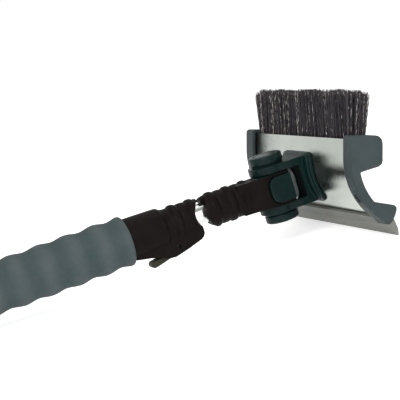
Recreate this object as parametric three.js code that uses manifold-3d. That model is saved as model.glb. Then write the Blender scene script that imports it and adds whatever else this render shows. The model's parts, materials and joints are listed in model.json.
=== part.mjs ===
// Telescoping snow brush with a swivelling scraper head, in millimetres.
//
// The parts are built in the handle's own axes: X runs along the handle towards the head, Z is the
// swivel axis of the head, Y runs along the head, and the origin is on the swivel axis. At the end the
// whole tool is tipped so that it lies on the floor on its scraper edge and on the far end of the grip.

import * as THREE from 'three';
import { mergeVertices } from 'three/addons/utils/BufferGeometryUtils.js';
import Module from 'manifold-3d';

const wasm = await Module();
wasm.setup();

// ---- Driving dimensions -------------------------------------------------------------------------

const GAP = 0.3;                      // clearance between neighbouring pieces

const HEAD_LENGTH = 254;              // along Y, outer face to outer face
const HEAD_LEAN = THREE.MathUtils.degToRad(17.5); // the bristles lean forward from the swivel axis
const CAP_THICKNESS = 18;             // of an end cap, along Y
const ARC_U = 83;                     // centre of the head's curve, in the head's axes (u, v)
const ARC_V = 30;
const RIM_RADIUS = 62;                // outer face of the end caps' rims
const PLATE_RADIUS = 58.5;            // front face of the metal plate
const PLATE_THICKNESS = 1.5;
const PLATE_TOP = 46.7;               // v of the plate's top edge
const PLATE_END_ANGLE = 57.5;         // degrees round the curve
const BAND_RADIUS = 54.5;             // hollow face of the end caps' curved band
const BRISTLE_TIP = 88.5;             // v of the bristle tips
const CAP_SCREW_ANGLE = 33;           // where the rim's screws sit on the curve, degrees

const TUBE_RADIUS = 9.5;              // sliding tube
const TUBE_WALL = 1.1;
const TUBE_FRONT = -20;
const TUBE_REAR = -492;
const OUTER_RADIUS = 11;              // fixed tube
const OUTER_WALL = 1.2;
const TRAVEL = 252;                   // of the sliding tube
const LOCK_HOLES = 7;
const LOCK_X = -88;                   // where the lock stud meets the tube

const GRIP_FRONT = -147.5;
const GRIP_BUMPS = 14;
const GRIP_PITCH = 26.3;
const GRIP_VALLEY = 21.8;             // radius between two bumps
const GRIP_CREST = 23.5;
const GRIP_REAR = GRIP_FRONT - GRIP_BUMPS * GRIP_PITCH;

const SLEEVE_REAR = -73;
const CHEEK_FRONT = 11;               // where the sleeve's cheeks and the button end
const CHEEK_HALF_WIDTH = 20.5;
const CHEEK_HALF_HEIGHT = 14.3;
const HUB_RADIUS = 23;
const HUB_HALF_WIDTH = 17.2;
const HUB_HALF_HEIGHT = 14.6;

const EAR_INNER = 15;                 // Z of the clevis ears' inner faces
const EAR_OUTER = 22;
const EAR_RADIUS = 18.5;
const BLOCK_HALF_WIDTH = 20;
const FLANGE_HALF_WIDTH = 33;
const FLANGE_THICKNESS = 4.5;
const BOLT_RADIUS = 4;
const PIVOT_CAP_RADIUS = 15.6;
const PIVOT_CAP_TOP = 31.3;

const COLLAR_SCREW_X = -135;          // screw that holds the collar on the fixed tube
const COLLAR_SCREW_Z = -3;
const LEVER_PIN_X = -105.9;
const LEVER_PIN_Z = -19.2;
const LEVER_HALF_WIDTH = 5;
const HOUSING_HALF_WIDTH = 12;

const SCREW_SHAFT = 1.6;              // radii of the head's screws and of their holes
const SCREW_HOLE = SCREW_SHAFT + GAP;
const SCREW_HEAD = 3.6;
const LEVER_PIN_RADIUS = 1.4;
const SLEEVE_PIN_RADIUS = 1.8;
const COLLAR_SCREW_SHAFT = 1.8;
const COLLAR_SCREW_HEAD = 2.6;
const PEG_RADIUS = 1.4;               // pegs that hold the index disc on the clevis
const PEG_OFFSET = 6.4;

const DISC_RADIUS = 10;               // index disc of the swivel lock
const DISC_TEETH = 24;

// ---- Materials ----------------------------------------------------------------------------------

const material = (color, roughness, metalness) =>
  new THREE.MeshStandardMaterial({ color, roughness, metalness });

const MATERIALS = {
  foam: material(0x4a545c, 0.95, 0),
  sleeve: material(0x1b1616, 0.5, 0),
  clevis: material(0x16221f, 0.45, 0),
  cap: material(0x434b50, 0.55, 0),
  blade: material(0x6c6f69, 0.5, 0),
  hub: material(0x8d9092, 0.45, 0),
  lever: material(0x35382a, 0.5, 0),
  block: material(0x1c1c1e, 0.6, 0),
  bristle: material(0x2b2830, 0.8, 0),
  plate: material(0xc6ccca, 0.28, 1),
  chrome: material(0xd8dadc, 0.12, 1),
  steel: material(0x9a9da0, 0.35, 1),
  rubber: material(0x18181a, 0.8, 0),
};

// ---- Solids -------------------------------------------------------------------------------------

const X_AXIS = new THREE.Vector3(1, 0, 0);
const Y_AXIS = new THREE.Vector3(0, 1, 0);
const Z_AXIS = new THREE.Vector3(0, 0, 1);

function signedVolume(position, index) {
  const a = new THREE.Vector3();
  const b = new THREE.Vector3();
  const c = new THREE.Vector3();
  let volume = 0;
  for (let i = 0; i < index.length; i += 3) {
    a.fromArray(position, 3 * index[i]);
    b.fromArray(position, 3 * index[i + 1]);
    c.fromArray(position, 3 * index[i + 2]);
    volume += a.dot(b.cross(c));
  }
  return volume;
}

// A closed geometry as a manifold solid, with its faces turned outward.
function solid(geometry) {
  const bare = geometry.clone();
  bare.deleteAttribute('normal');
  bare.deleteAttribute('uv');
  const merged = mergeVertices(bare, 1e-4);
  const position = merged.attributes.position.array;
  const index = Uint32Array.from(merged.index.array);
  if (signedVolume(position, index) < 0) {
    index.reverse();
  }
  return new wasm.Manifold(new wasm.Mesh({
    numProp: 3,
    vertProperties: Float32Array.from(position),
    triVerts: index,
  }));
}

function geometryOf(manifold) {
  const mesh = manifold.getMesh();
  const geometry = new THREE.BufferGeometry();
  geometry.setAttribute('position', new THREE.BufferAttribute(mesh.vertProperties, 3));
  geometry.setIndex(new THREE.BufferAttribute(mesh.triVerts, 1));
  geometry.computeVertexNormals();
  return geometry;
}

function union(first, ...others) {
  return others.reduce((sum, other) => sum.add(other), first);
}

function cut(body, ...tools) {
  return tools.reduce((rest, tool) => rest.subtract(tool), body);
}

function moved(geometry, x, y, z) {
  return geometry.translate(x, y, z);
}

// Outline of straight points, as [first coordinate, second coordinate] pairs.
function outline(points) {
  return new THREE.Shape(points.map(([a, b]) => new THREE.Vector2(a, b)));
}

// An outline in the X-Z plane, extruded along Y. The bevel rounds both ends.
function extrudeY(shape, yLow, yHigh, bevel = 0, segments = 6) {
  const geometry = new THREE.ExtrudeGeometry(shape, {
    depth: yHigh - yLow - 2 * bevel,
    bevelEnabled: bevel > 0,
    bevelThickness: bevel,
    bevelSize: bevel,
    bevelOffset: -bevel,
    bevelSegments: 1,
    curveSegments: segments,
  });
  geometry.applyMatrix4(new THREE.Matrix4().makeBasis(X_AXIS, Z_AXIS, Y_AXIS.clone().negate()));
  return moved(geometry, 0, yHigh - bevel, 0);
}

// An outline in the X-Y plane, extruded along Z.
function extrudeZ(shape, zLow, zHigh, bevel = 0, segments = 6) {
  const geometry = new THREE.ExtrudeGeometry(shape, {
    depth: zHigh - zLow - 2 * bevel,
    bevelEnabled: bevel > 0,
    bevelThickness: bevel,
    bevelSize: bevel,
    bevelOffset: -bevel,
    bevelSegments: 1,
    curveSegments: segments,
  });
  return moved(geometry, 0, 0, zLow + bevel);
}

// An outline in the Y-Z plane, extruded along X.
function extrudeX(shape, xLow, xHigh, segments = 6) {
  const geometry = new THREE.ExtrudeGeometry(shape, {
    depth: xHigh - xLow,
    bevelEnabled: false,
    curveSegments: segments,
  });
  geometry.applyMatrix4(new THREE.Matrix4().makeBasis(Y_AXIS, Z_AXIS, X_AXIS));
  return moved(geometry, xLow, 0, 0);
}

function lathe(profile, sides) {
  return new THREE.LatheGeometry(profile.map(([r, s]) => new THREE.Vector2(r, s)), sides);
}

// A profile of [radius, x] pairs, turned about the handle's axis.
function latheX(profile, sides = 24) {
  return lathe(profile, sides).rotateZ(-Math.PI / 2);
}

// A profile of [radius, z] pairs, turned about the swivel axis.
function latheZ(profile, sides = 24) {
  return lathe(profile, sides).rotateX(Math.PI / 2);
}

function rodX(radius, xLow, xHigh, sides = 24) {
  return latheX([[0, xLow], [radius, xLow], [radius, xHigh], [0, xHigh]], sides);
}

function rodY(radius, yLow, yHigh, sides = 16) {
  return lathe([[0, yLow], [radius, yLow], [radius, yHigh], [0, yHigh]], sides);
}

function rodZ(radius, zLow, zHigh, sides = 24) {
  return latheZ([[0, zLow], [radius, zLow], [radius, zHigh], [0, zHigh]], sides);
}

function tubeProfile(outer, inner, low, high) {
  return [[inner, low], [outer, low], [outer, high], [inner, high], [inner, low]];
}

function box(xLow, xHigh, yLow, yHigh, zLow, zHigh) {
  const geometry = new THREE.BoxGeometry(xHigh - xLow, yHigh - yLow, zHigh - zLow);
  return moved(geometry, (xLow + xHigh) / 2, (yLow + yHigh) / 2, (zLow + zHigh) / 2);
}

function roundedRectangle(aLow, aHigh, bLow, bHigh, radius) {
  const shape = new THREE.Shape();
  shape.absarc(aHigh - radius, bLow + radius, radius, -Math.PI / 2, 0);
  shape.absarc(aHigh - radius, bHigh - radius, radius, 0, Math.PI / 2);
  shape.absarc(aLow + radius, bHigh - radius, radius, Math.PI / 2, Math.PI);
  shape.absarc(aLow + radius, bLow + radius, radius, Math.PI, 1.5 * Math.PI);
  return shape;
}

// ---- Scene graph --------------------------------------------------------------------------------

const tool = new THREE.Group();
const head = new THREE.Group();       // the head's own axes: x is u, z is v
head.rotation.y = HEAD_LEAN;
tool.add(head);

function add(parent, name, geometry, look) {
  const mesh = new THREE.Mesh(geometry, look);
  mesh.name = name;
  parent.add(mesh);
  return mesh;
}

// A solid drawn in the head's axes, turned into the handle's axes, or back.
function headToHandle(geometry) {
  return geometry.rotateY(HEAD_LEAN);
}

// ---- Handle: grip, fixed tube and butt cap ------------------------------------------------------

// Radius of the wavy grip at a number of pitches from its rear end, which starts plain.
function gripRadius(turn) {
  const rise = turn < 0.5 ? 0 : 0.5 + 0.5 * Math.cos(2 * Math.PI * turn);
  return GRIP_VALLEY + (GRIP_CREST - GRIP_VALLEY) * rise;
}

function buildGrip() {
  const bore = OUTER_RADIUS + GAP;
  const edge = 1.8;
  const profile = [[bore, GRIP_REAR], [GRIP_VALLEY - edge, GRIP_REAR], [GRIP_VALLEY, GRIP_REAR + edge]];
  for (let turn = 0.5; turn < GRIP_BUMPS; turn += 0.25) {
    profile.push([gripRadius(turn), GRIP_REAR + turn * GRIP_PITCH]);
  }
  profile.push([GRIP_CREST - 0.5, GRIP_FRONT - edge], [GRIP_CREST - edge - 0.7, GRIP_FRONT],
    [bore, GRIP_FRONT], [bore, GRIP_REAR]);
  add(tool, 'foam_grip', latheX(profile, 16), MATERIALS.foam);
}

const OUTER_FRONT = -107.5;

function collarScrewHole(radius) {
  return solid(moved(rodY(radius, 0, 30, 12), COLLAR_SCREW_X, 0, COLLAR_SCREW_Z));
}

function buildOuterTube() {
  const profile = tubeProfile(OUTER_RADIUS, OUTER_RADIUS - OUTER_WALL, GRIP_REAR, OUTER_FRONT);
  const tube = cut(solid(latheX(profile)), collarScrewHole(COLLAR_SCREW_SHAFT + GAP));
  add(tool, 'outer_tube', geometryOf(tube), MATERIALS.steel);
}

function buildButtCap() {
  const flangeFront = GRIP_REAR - GAP;
  const flangeRear = flangeFront - 6;
  const lugRear = flangeRear - 22;
  const spigot = OUTER_RADIUS - OUTER_WALL - GAP;
  const body = solid(latheX([
    [0, flangeRear], [18, flangeRear], [20.5, flangeRear + 1.5], [21, flangeRear + 3],
    [21, flangeFront], [spigot, flangeFront], [spigot, flangeFront + 16], [0, flangeFront + 16],
  ]));
  const lug = solid(extrudeY(roundedRectangle(lugRear, flangeRear + 3, -13, 13, 5), -7, 7, 1.5, 4));
  const hangHole = solid(moved(rodY(6, -10, 10, 20), flangeRear - 10, 0, 0));
  add(tool, 'butt_cap', geometryOf(cut(union(body, lug), hangHole)), MATERIALS.rubber);
}

// ---- Handle: lock collar ------------------------------------------------------------------------

const COLLAR_REAR = GRIP_FRONT + GAP;
const COLLAR_FRONT = -76;
const BUSH_REAR = -107;
const BUSH_FRONT = -93;
const SLOT_TOP = -13.5;

// Rings raised on a sleeve: pairs of [radius, x] for `count` rings, alternately high and low.
function ringProfile(rearX, pitch, count, baseRadius, frontRadius, highRing, lowRing) {
  const points = [];
  for (let ring = 0; ring < count; ring += 1) {
    const share = ring / count;
    const base = baseRadius + (frontRadius - baseRadius) * share;
    const height = ring % 2 === 0 ? highRing : lowRing;
    const x = rearX + ring * pitch;
    points.push(
      [base, x],
      [base + height, x + 0.22 * pitch],
      [base + height, x + 0.68 * pitch],
      [base, x + 0.9 * pitch],
    );
  }
  return points;
}

function collarHousing() {
  const side = outline([
    [COLLAR_REAR, -12], [COLLAR_REAR, -18.2], [-134, -20.8], [-126, -23.2], [-118, -26.8], [-111, -27.4],
    [-98.6, -24.6], [-91, -22.4], [-83.3, -20.2], [-80.6, -18.2], [-79.2, -15.6], [-79.1, -9],
    [-84, -4],
  ]);
  return solid(extrudeY(side, -HOUSING_HALF_WIDTH, HOUSING_HALF_WIDTH, 1.5));
}

function buildCollar() {
  const shell = solid(latheX([
    [0, COLLAR_REAR], [19.4, COLLAR_REAR], [19.4, -142], [18.8, -118], [18.6, -114.5],
    [16.8, -112.5], [16.4, -110.5],
    ...ringProfile(-103.9, 8.6, 3, 15.6, 14.6, 1.2, 0.5),
    [14.4, COLLAR_FRONT], [0, COLLAR_FRONT],
  ]));
  const fixedTubeBore = solid(rodX(OUTER_RADIUS + GAP, COLLAR_REAR - 1, BUSH_REAR));
  const bushBore = solid(rodX(12.8, BUSH_REAR - 0.01, BUSH_FRONT));
  const frontBore = solid(rodX(TUBE_RADIUS + 0.7, BUSH_FRONT - 0.01, COLLAR_FRONT + 1));
  const mouth = solid(moved(rodY(13.2, -30, 30, 32), -70.9, 0, 0.9));
  const underMouth = solid(box(-79.1, -70, -30, 30, -30, -9));
  const leverSlotHalf = LEVER_HALF_WIDTH + 0.7;
  const leverSlot = solid(box(-137, -78, -leverSlotHalf, leverSlotHalf, -40, SLOT_TOP));
  const studSlot = solid(box(LOCK_X - 3.2, LOCK_X + 5, -3.4, 3.4, -14, -8));
  const pinHole = solid(moved(rodY(LEVER_PIN_RADIUS + GAP, -20, 20, 12),
    LEVER_PIN_X, 0, LEVER_PIN_Z));
  const screwSeat = solid(moved(rodY(COLLAR_SCREW_HEAD + GAP, 16.5, 22, 12),
    COLLAR_SCREW_X, 0, COLLAR_SCREW_Z));
  const body = cut(union(shell, collarHousing()), fixedTubeBore, bushBore, frontBore, mouth,
    underMouth, leverSlot, studSlot, pinHole, collarScrewHole(COLLAR_SCREW_SHAFT + GAP), screwSeat);
  add(tool, 'lock_collar', geometryOf(body), MATERIALS.sleeve);
}

function buildCollarScrew() {
  const screw = union(
    solid(rodY(COLLAR_SCREW_SHAFT, 10.2, 17, 10)),
    solid(rodY(COLLAR_SCREW_HEAD, 16.9, 18.3, 12)),
  );
  add(tool, 'collar_screw', geometryOf(screw), MATERIALS.steel)
    .position.set(COLLAR_SCREW_X, 0, COLLAR_SCREW_Z);
}

function buildGuideBush() {
  const profile = tubeProfile(12.5, TUBE_RADIUS + 0.15, BUSH_REAR + GAP, BUSH_FRONT - GAP);
  add(tool, 'guide_bush', latheX(profile), MATERIALS.hub);
}

// ---- Lock lever ---------------------------------------------------------------------------------

function buildLockLever() {
  const side = outline([
    [-82.4, -15.2], [-82.6, -17.2], [-84.4, -19.2], [-91, -21.6], [-98.6, -24], [-106, -25.9],
    [-113, -27.8], [-120, -29.5], [-127, -31.2], [-131.4, -31.8], [-133.6, -30.2], [-133.8, -27.8],
    [-132.2, -25.8], [-127.5, -25], [-117.5, -25.1], [-111.5, -22.9], [-109, -17.2], [-106, -15.4],
    [-98, -15.2],
  ]);
  const arm = solid(extrudeY(side, -LEVER_HALF_WIDTH, LEVER_HALF_WIDTH, 0.8));
  const pinHole = solid(moved(rodY(LEVER_PIN_RADIUS + GAP, -10, 10, 12),
    LEVER_PIN_X, 0, LEVER_PIN_Z));
  const studHole = solid(moved(rodZ(2.6, -40, 0, 14), LOCK_X, 0, 0));
  const studSeat = solid(moved(rodZ(3.9, -40, -17.4, 14), LOCK_X, 0, 0));
  add(tool, 'lock_lever', geometryOf(cut(arm, pinHole, studHole, studSeat)), MATERIALS.lever);
}

function buildLockStud() {
  const profile = [
    [0, -19], [3.5, -19], [3.5, -17.7], [2.2, -17.7], [2.2, -10], [1.6, -7.9], [0, -7.9],
  ];
  add(tool, 'lock_stud', latheZ(profile, 14), MATERIALS.steel).position.x = LOCK_X;
}

function buildLeverPin() {
  const reach = HOUSING_HALF_WIDTH - 3;
  const pin = rodY(LEVER_PIN_RADIUS, -reach, reach, 12);
  add(tool, 'lever_pin', pin, MATERIALS.steel).position.set(LEVER_PIN_X, 0, LEVER_PIN_Z);
}

class Helix extends THREE.Curve {
  constructor(radius, turns, length) {
    super();
    this.radius = radius;
    this.turns = turns;
    this.length = length;
  }

  getPoint(t, target = new THREE.Vector3()) {
    const angle = 2 * Math.PI * this.turns * t;
    return target.set(
      this.radius * Math.cos(angle),
      this.radius * Math.sin(angle),
      this.length * t,
    );
  }
}

// A coil spring standing on z = 0.
function coilSpring(radius, wire, turns, length) {
  const section = new THREE.Shape();
  section.absarc(0, 0, wire, 0, 2 * Math.PI);
  return new THREE.ExtrudeGeometry(section, {
    steps: turns * 7,
    curveSegments: 4,
    extrudePath: new Helix(radius, turns, length),
  });
}

function buildLeverSpring() {
  const spring = coilSpring(2.6, 0.45, 4, 9.4);
  add(tool, 'lever_spring', spring, MATERIALS.steel).position.set(-122.5, 0, -24.2);
}

// ---- Sliding tube, sleeve and swivel hub --------------------------------------------------------

const SLEEVE_PIN_X = -37;

function sleevePinHole() {
  return solid(moved(rodZ(SLEEVE_PIN_RADIUS + GAP, -30, 12.6, 12), SLEEVE_PIN_X, 0, 0));
}

function buildInnerTube() {
  const profile = tubeProfile(TUBE_RADIUS, TUBE_RADIUS - TUBE_WALL, TUBE_REAR, TUBE_FRONT);
  let tube = cut(solid(latheX(profile, 28)), sleevePinHole());
  const holePitch = TRAVEL / (LOCK_HOLES - 1);
  for (let hole = 0; hole < LOCK_HOLES; hole += 1) {
    const x = LOCK_X - hole * holePitch;
    tube = cut(tube, solid(moved(rodZ(3.2, -15, 0, 14), x, 0, 0)));
  }
  add(tool, 'inner_tube', geometryOf(tube), MATERIALS.chrome);
}

function buildTubePlug() {
  const inner = TUBE_RADIUS - TUBE_WALL - GAP;
  const rear = TUBE_REAR - GAP;
  const profile = [
    [0, rear - 2.5], [TUBE_RADIUS, rear - 2.5], [TUBE_RADIUS, rear], [inner, rear],
    [inner, rear + 14], [0, rear + 14],
  ];
  add(tool, 'tube_end_plug', latheX(profile), MATERIALS.rubber);
}

// The cheeks that flank the hub, seen from above: wide at the hub, narrow towards the tube.
function cheekOutline() {
  return outline([
    [-38, -13], [-30, -14.8], [-20, -19.4], [-15, -CHEEK_HALF_WIDTH], [CHEEK_FRONT, -CHEEK_HALF_WIDTH],
    [CHEEK_FRONT, CHEEK_HALF_WIDTH], [-10, CHEEK_HALF_WIDTH], [-17, 19.6], [-22, 18.2], [-30, 14.8],
    [-38, 13],
  ]);
}

const BUTTON_REAR = -11.2;
const BUTTON_HALF_HEIGHT = 11.9;

// The button's face: round towards the tube, straight and open towards the head.
function buttonOutline(margin) {
  const rear = BUTTON_REAR - margin;
  const half = BUTTON_HALF_HEIGHT + margin;
  const radius = 8 + margin;
  const front = CHEEK_FRONT - 0.3 + margin;
  const shape = new THREE.Shape();
  shape.moveTo(front, -half);
  shape.lineTo(front, half);
  shape.absarc(rear + radius, half - radius, radius, Math.PI / 2, Math.PI);
  shape.absarc(rear + radius, -half + radius, radius, Math.PI, 1.5 * Math.PI);
  return shape;
}

// The far side of the sleeve and hub falls away behind the ears, above and below.
function farSideFall() {
  const above = solid(extrudeX(outline([[3, 14.6], [24, 10.2], [24, 20], [3, 20]]), -45, -9));
  const below = solid(extrudeX(outline([[3, -14.6], [3, -20], [24, -20], [24, -10.2]]), -45, -9));
  return union(above, below);
}

// The sleeve's open end: slanted below, upright on the near side, with a beak at the far top.
function sleeveMouth() {
  const below = solid(extrudeY(outline([
    [-80, -25], [-61, -25], [-62.5, -16.4], [-68.6, -12], [-73.1, -3.5], [-80, -3.5],
  ]), -30, 30));
  const nearSide = solid(extrudeY(outline([
    [-80, -3.6], [-73.1, -3.6], [-72.4, 5.5], [-68.8, 13], [-66.5, 25], [-80, 25],
  ]), -30, -5));
  const farSide = solid(box(-80, -66, 4, 30, -30, 9.9));
  return union(below, nearSide, farSide);
}

function buildFrontSleeve() {
  const rings = solid(latheX([
    [0, SLEEVE_REAR], [12.4, SLEEVE_REAR], [13.6, SLEEVE_REAR + 0.9], [15, SLEEVE_REAR + 4.5],
    ...ringProfile(-66.5, 8.4, 5, 15.2, 14.4, 1.1, 0.4),
    [14.3, -23], [14.3, -20], [0, -20],
  ]));
  const cheeks = solid(extrudeZ(cheekOutline(), -CHEEK_HALF_HEIGHT, CHEEK_HALF_HEIGHT, 1.5));
  const tubeBore = solid(rodX(TUBE_RADIUS + GAP, SLEEVE_REAR - 1, TUBE_FRONT + GAP, 28));
  const hubHalf = HUB_HALF_WIDTH + GAP;
  const hubPocket = solid(box(TUBE_FRONT + 0.29, 20, -hubHalf, hubHalf, -30, 30));
  const buttonWindow = solid(extrudeY(buttonOutline(0.35), -30, -10));
  const body = cut(union(rings, cheeks), tubeBore, hubPocket, sleeveMouth(), buttonWindow,
    farSideFall(), sleevePinHole());
  add(tool, 'front_sleeve', geometryOf(body), MATERIALS.sleeve);
}

function buildSleevePin() {
  const pin = add(tool, 'sleeve_pin', rodZ(SLEEVE_PIN_RADIUS, -13.4, 12, 12), MATERIALS.steel);
  pin.position.x = SLEEVE_PIN_X;
}

// The hub's nose: a drum about the swivel axis with its corners eased, seen beyond the cheeks.
function hubNose() {
  const drum = solid(latheZ([
    [0, -HUB_HALF_HEIGHT], [20.6, -HUB_HALF_HEIGHT], [HUB_RADIUS, -10], [HUB_RADIUS, 7],
    [19.8, HUB_HALF_HEIGHT], [0, HUB_HALF_HEIGHT],
  ], 48));
  const front = solid(box(CHEEK_FRONT, HUB_RADIUS + 5, -20, 20, -20, 20));
  return drum.intersect(front).subtract(cheekClearance());
}

// Room for the sleeve's cheeks beside the hub.
function cheekClearance() {
  const reach = CHEEK_FRONT + 0.4;
  return union(
    solid(box(0, reach, HUB_HALF_WIDTH, 30, -20, 20)),
    solid(box(0, reach, -30, -HUB_HALF_WIDTH, -20, 20)),
  );
}

const LATCH_FLOOR = -11.4;            // top of the hub's pocket for the index disc and latch
const SPRING_REAR = -7.5;             // Y of the button spring's seat in the hub

function buildPivotHub() {
  const core = solid(box(TUBE_FRONT + 0.6, CHEEK_FRONT + 0.2, -HUB_HALF_WIDTH, HUB_HALF_WIDTH,
    -HUB_HALF_HEIGHT, HUB_HALF_HEIGHT));
  const spigot = solid(rodX(TUBE_RADIUS - TUBE_WALL - GAP, -50, TUBE_FRONT + 2));
  const boltHole = solid(rodZ(BOLT_RADIUS + GAP, -30, 30));
  const latchPocket = solid(box(-13.8, 13.8, -20, 30, -20, LATCH_FLOOR));
  const buttonPocket = solid(box(-12, CHEEK_FRONT + 0.3, -30, -13.9, -12.6, 12.6));
  const springSeat = solid(moved(rodY(3.6, -20, SPRING_REAR, 14), 0, 0, 4));
  const body = cut(union(core, hubNose(), spigot), boltHole, latchPocket, buttonPocket, springSeat,
    farSideFall(), sleevePinHole());
  add(tool, 'pivot_hub', geometryOf(body), MATERIALS.hub);
}

// ---- Swivel lock button -------------------------------------------------------------------------

const BUTTON_FACE = -23.6;            // Y of the button's face
const BUTTON_BACK = -17.8;

function buildReleaseButton() {
  const button = solid(extrudeY(buttonOutline(0), BUTTON_FACE, BUTTON_BACK, 1.4, 6));
  add(tool, 'release_button', geometryOf(button), MATERIALS.clevis);
}

function buildButtonSpring() {
  const length = SPRING_REAR - BUTTON_BACK - 1.6;
  const spring = coilSpring(2.5, 0.4, 4, length).rotateX(-Math.PI / 2);
  add(tool, 'button_spring', spring, MATERIALS.steel).position.set(0, BUTTON_BACK + 0.8, 4);
}

// The latch frame round the index disc. Its tooth meets the disc on the far side from the button.
function buildLatchFrame() {
  const shape = outline([[-13.2, -17.5], [13.2, -17.5], [13.2, 13.4], [-13.2, 13.4]]);
  shape.holes.push(new THREE.Path([
    new THREE.Vector2(-10.6, -13.6), new THREE.Vector2(-10.6, 10.6), new THREE.Vector2(-0.9, 10.6),
    new THREE.Vector2(-0.25, 8.8), new THREE.Vector2(0.25, 8.8), new THREE.Vector2(0.9, 10.6),
    new THREE.Vector2(10.6, 10.6), new THREE.Vector2(10.6, -13.6),
  ]));
  add(tool, 'latch_frame', extrudeZ(shape, -14.3, -11.8), MATERIALS.steel);
}

// ---- Swivel joint of the head -------------------------------------------------------------------

function buildIndexDisc() {
  const shape = new THREE.Shape();
  const root = DISC_RADIUS - 1.5;
  for (let tooth = 0; tooth < DISC_TEETH; tooth += 1) {
    const middle = Math.PI / 2 + (2 * Math.PI * tooth) / DISC_TEETH;
    const corners = [[root, -0.06], [root, 0.06], [DISC_RADIUS, 0.1], [DISC_RADIUS, 0.16]];
    for (const [radius, offset] of corners) {
      const angle = middle + offset;
      if (tooth === 0 && radius === root && offset < 0) {
        shape.moveTo(radius * Math.cos(angle), radius * Math.sin(angle));
      } else {
        shape.lineTo(radius * Math.cos(angle), radius * Math.sin(angle));
      }
    }
  }
  const boltHole = new THREE.Path();
  boltHole.absarc(0, 0, BOLT_RADIUS + GAP, 0, 2 * Math.PI, true);
  shape.holes.push(boltHole);
  const pegs = [-1, 1].map((side) => 
    solid(moved(rodZ(PEG_RADIUS, -18, -14, 10), PEG_OFFSET * side, 0, 0)));
  const disc = union(solid(extrudeZ(shape, -14.6, -11.8)), ...pegs);
  add(tool, 'index_disc', geometryOf(disc), MATERIALS.steel);
}

// An ear of the clevis from above: round at the swivel, widening to the block.
function earOutline() {
  const shape = new THREE.Shape();
  shape.moveTo(30, -BLOCK_HALF_WIDTH);
  shape.lineTo(30, BLOCK_HALF_WIDTH);
  shape.lineTo(16, BLOCK_HALF_WIDTH);
  shape.absarc(0, 0, EAR_RADIUS, THREE.MathUtils.degToRad(80), THREE.MathUtils.degToRad(280));
  shape.lineTo(16, -BLOCK_HALF_WIDTH);
  return shape;
}

// A ring sector of the head's curve, as an outline in the head's axes.
function arcSector(outerRadius, innerRadius, startDegrees, endDegrees) {
  const start = Math.PI + THREE.MathUtils.degToRad(startDegrees);
  const end = Math.PI + THREE.MathUtils.degToRad(endDegrees);
  const shape = new THREE.Shape();
  shape.absarc(ARC_U, ARC_V, outerRadius, start, end, false);
  shape.absarc(ARC_U, ARC_V, innerRadius, end, start, true);
  return shape;
}

function onArc(radius, degrees) {
  const angle = THREE.MathUtils.degToRad(degrees);
  return [ARC_U - radius * Math.cos(angle), ARC_V - radius * Math.sin(angle)];
}

// A rod that stands square on the head's curve, between two radii, in the head's axes.
function radialRod(rodRadius, lowRadius, highRadius, degrees, y, sides = 12) {
  const rod = latheX([[0, 0], [rodRadius, 0], [rodRadius, highRadius - lowRadius],
    [0, highRadius - lowRadius]], sides);
  rod.rotateY(Math.PI - THREE.MathUtils.degToRad(degrees));
  const [u, v] = onArc(lowRadius, degrees);
  return moved(rod, u, y, v);
}

const CLEVIS_SCREWS = [
  [-27, 15], [27, 15], [-27, 36], [27, 36],
].map(([y, degrees], index) => ({ name: `clevis_screw_${index + 1}`, y, degrees }));

// The hollow between the ears that clears the hub at every angle of the head.
function clevisRecess() {
  const reach = 43.2;
  const centre = -16.5;
  const ease = 1;
  return solid(moved(latheZ([
    [0, -EAR_INNER], [reach - ease, -EAR_INNER], [reach, -EAR_INNER + ease],
    [reach, EAR_INNER - ease], [reach - ease, EAR_INNER], [0, EAR_INNER],
  ], 48), centre, 0, 0));
}

function buildClevis() {
  const block = union(
    solid(extrudeZ(earOutline(), -EAR_OUTER, EAR_OUTER, 1.2, 9)),
    solid(box(24, 48, -BLOCK_HALF_WIDTH, BLOCK_HALF_WIDTH, -EAR_OUTER, EAR_OUTER)),
  );
  const flangeFace = roundedRectangle(-FLANGE_HALF_WIDTH, FLANGE_HALF_WIDTH, -23.5, 24.3, 9);
  const stepFace = roundedRectangle(-FLANGE_HALF_WIDTH + 4, FLANGE_HALF_WIDTH - 4, -22.5, 23.3, 8);
  const outerShell = solid(headToHandle(extrudeY(
    arcSector(PLATE_RADIUS + FLANGE_THICKNESS - 1.3, PLATE_RADIUS + GAP, -20, 70), -60, 60, 0, 18)));
  const stepShell = solid(headToHandle(extrudeY(
    arcSector(PLATE_RADIUS + FLANGE_THICKNESS, PLATE_RADIUS + GAP, -20, 70), -60, 60, 0, 18)));
  const flange = union(
    solid(extrudeX(flangeFace, 10, 60)).intersect(outerShell),
    solid(extrudeX(stepFace, 10, 60)).intersect(stepShell),
  );
  const plateSide = solid(headToHandle(extrudeY(
    arcSector(PLATE_RADIUS + GAP, 1, -40, 110), -60, 60, 0, 30)));
  const boltHole = solid(rodZ(BOLT_RADIUS + GAP, -40, 40));
  const pegHoles = [-1, 1].map((side) => 
    solid(moved(rodZ(PEG_RADIUS + GAP, -18.4, -14, 10), PEG_OFFSET * side, 0, 0)));
  const screwHoles = CLEVIS_SCREWS.map(({ y, degrees }) =>
    solid(headToHandle(radialRod(SCREW_HOLE, PLATE_RADIUS, PLATE_RADIUS + 3.4, degrees, y))));
  const body = cut(union(block, flange), clevisRecess(), plateSide, boltHole, ...pegHoles,
    ...screwHoles);
  add(tool, 'pivot_clevis', geometryOf(body), MATERIALS.clevis);
}

function hexagonZ(acrossFlats, zLow, zHigh) {
  const radius = acrossFlats / Math.sqrt(3);
  return rodZ(radius, zLow, zHigh, 6);
}

const WASHER_LOW = EAR_OUTER + GAP;
const WASHER_HIGH = WASHER_LOW + 1.4;
const FASTENER_LOW = WASHER_HIGH + GAP;

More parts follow.
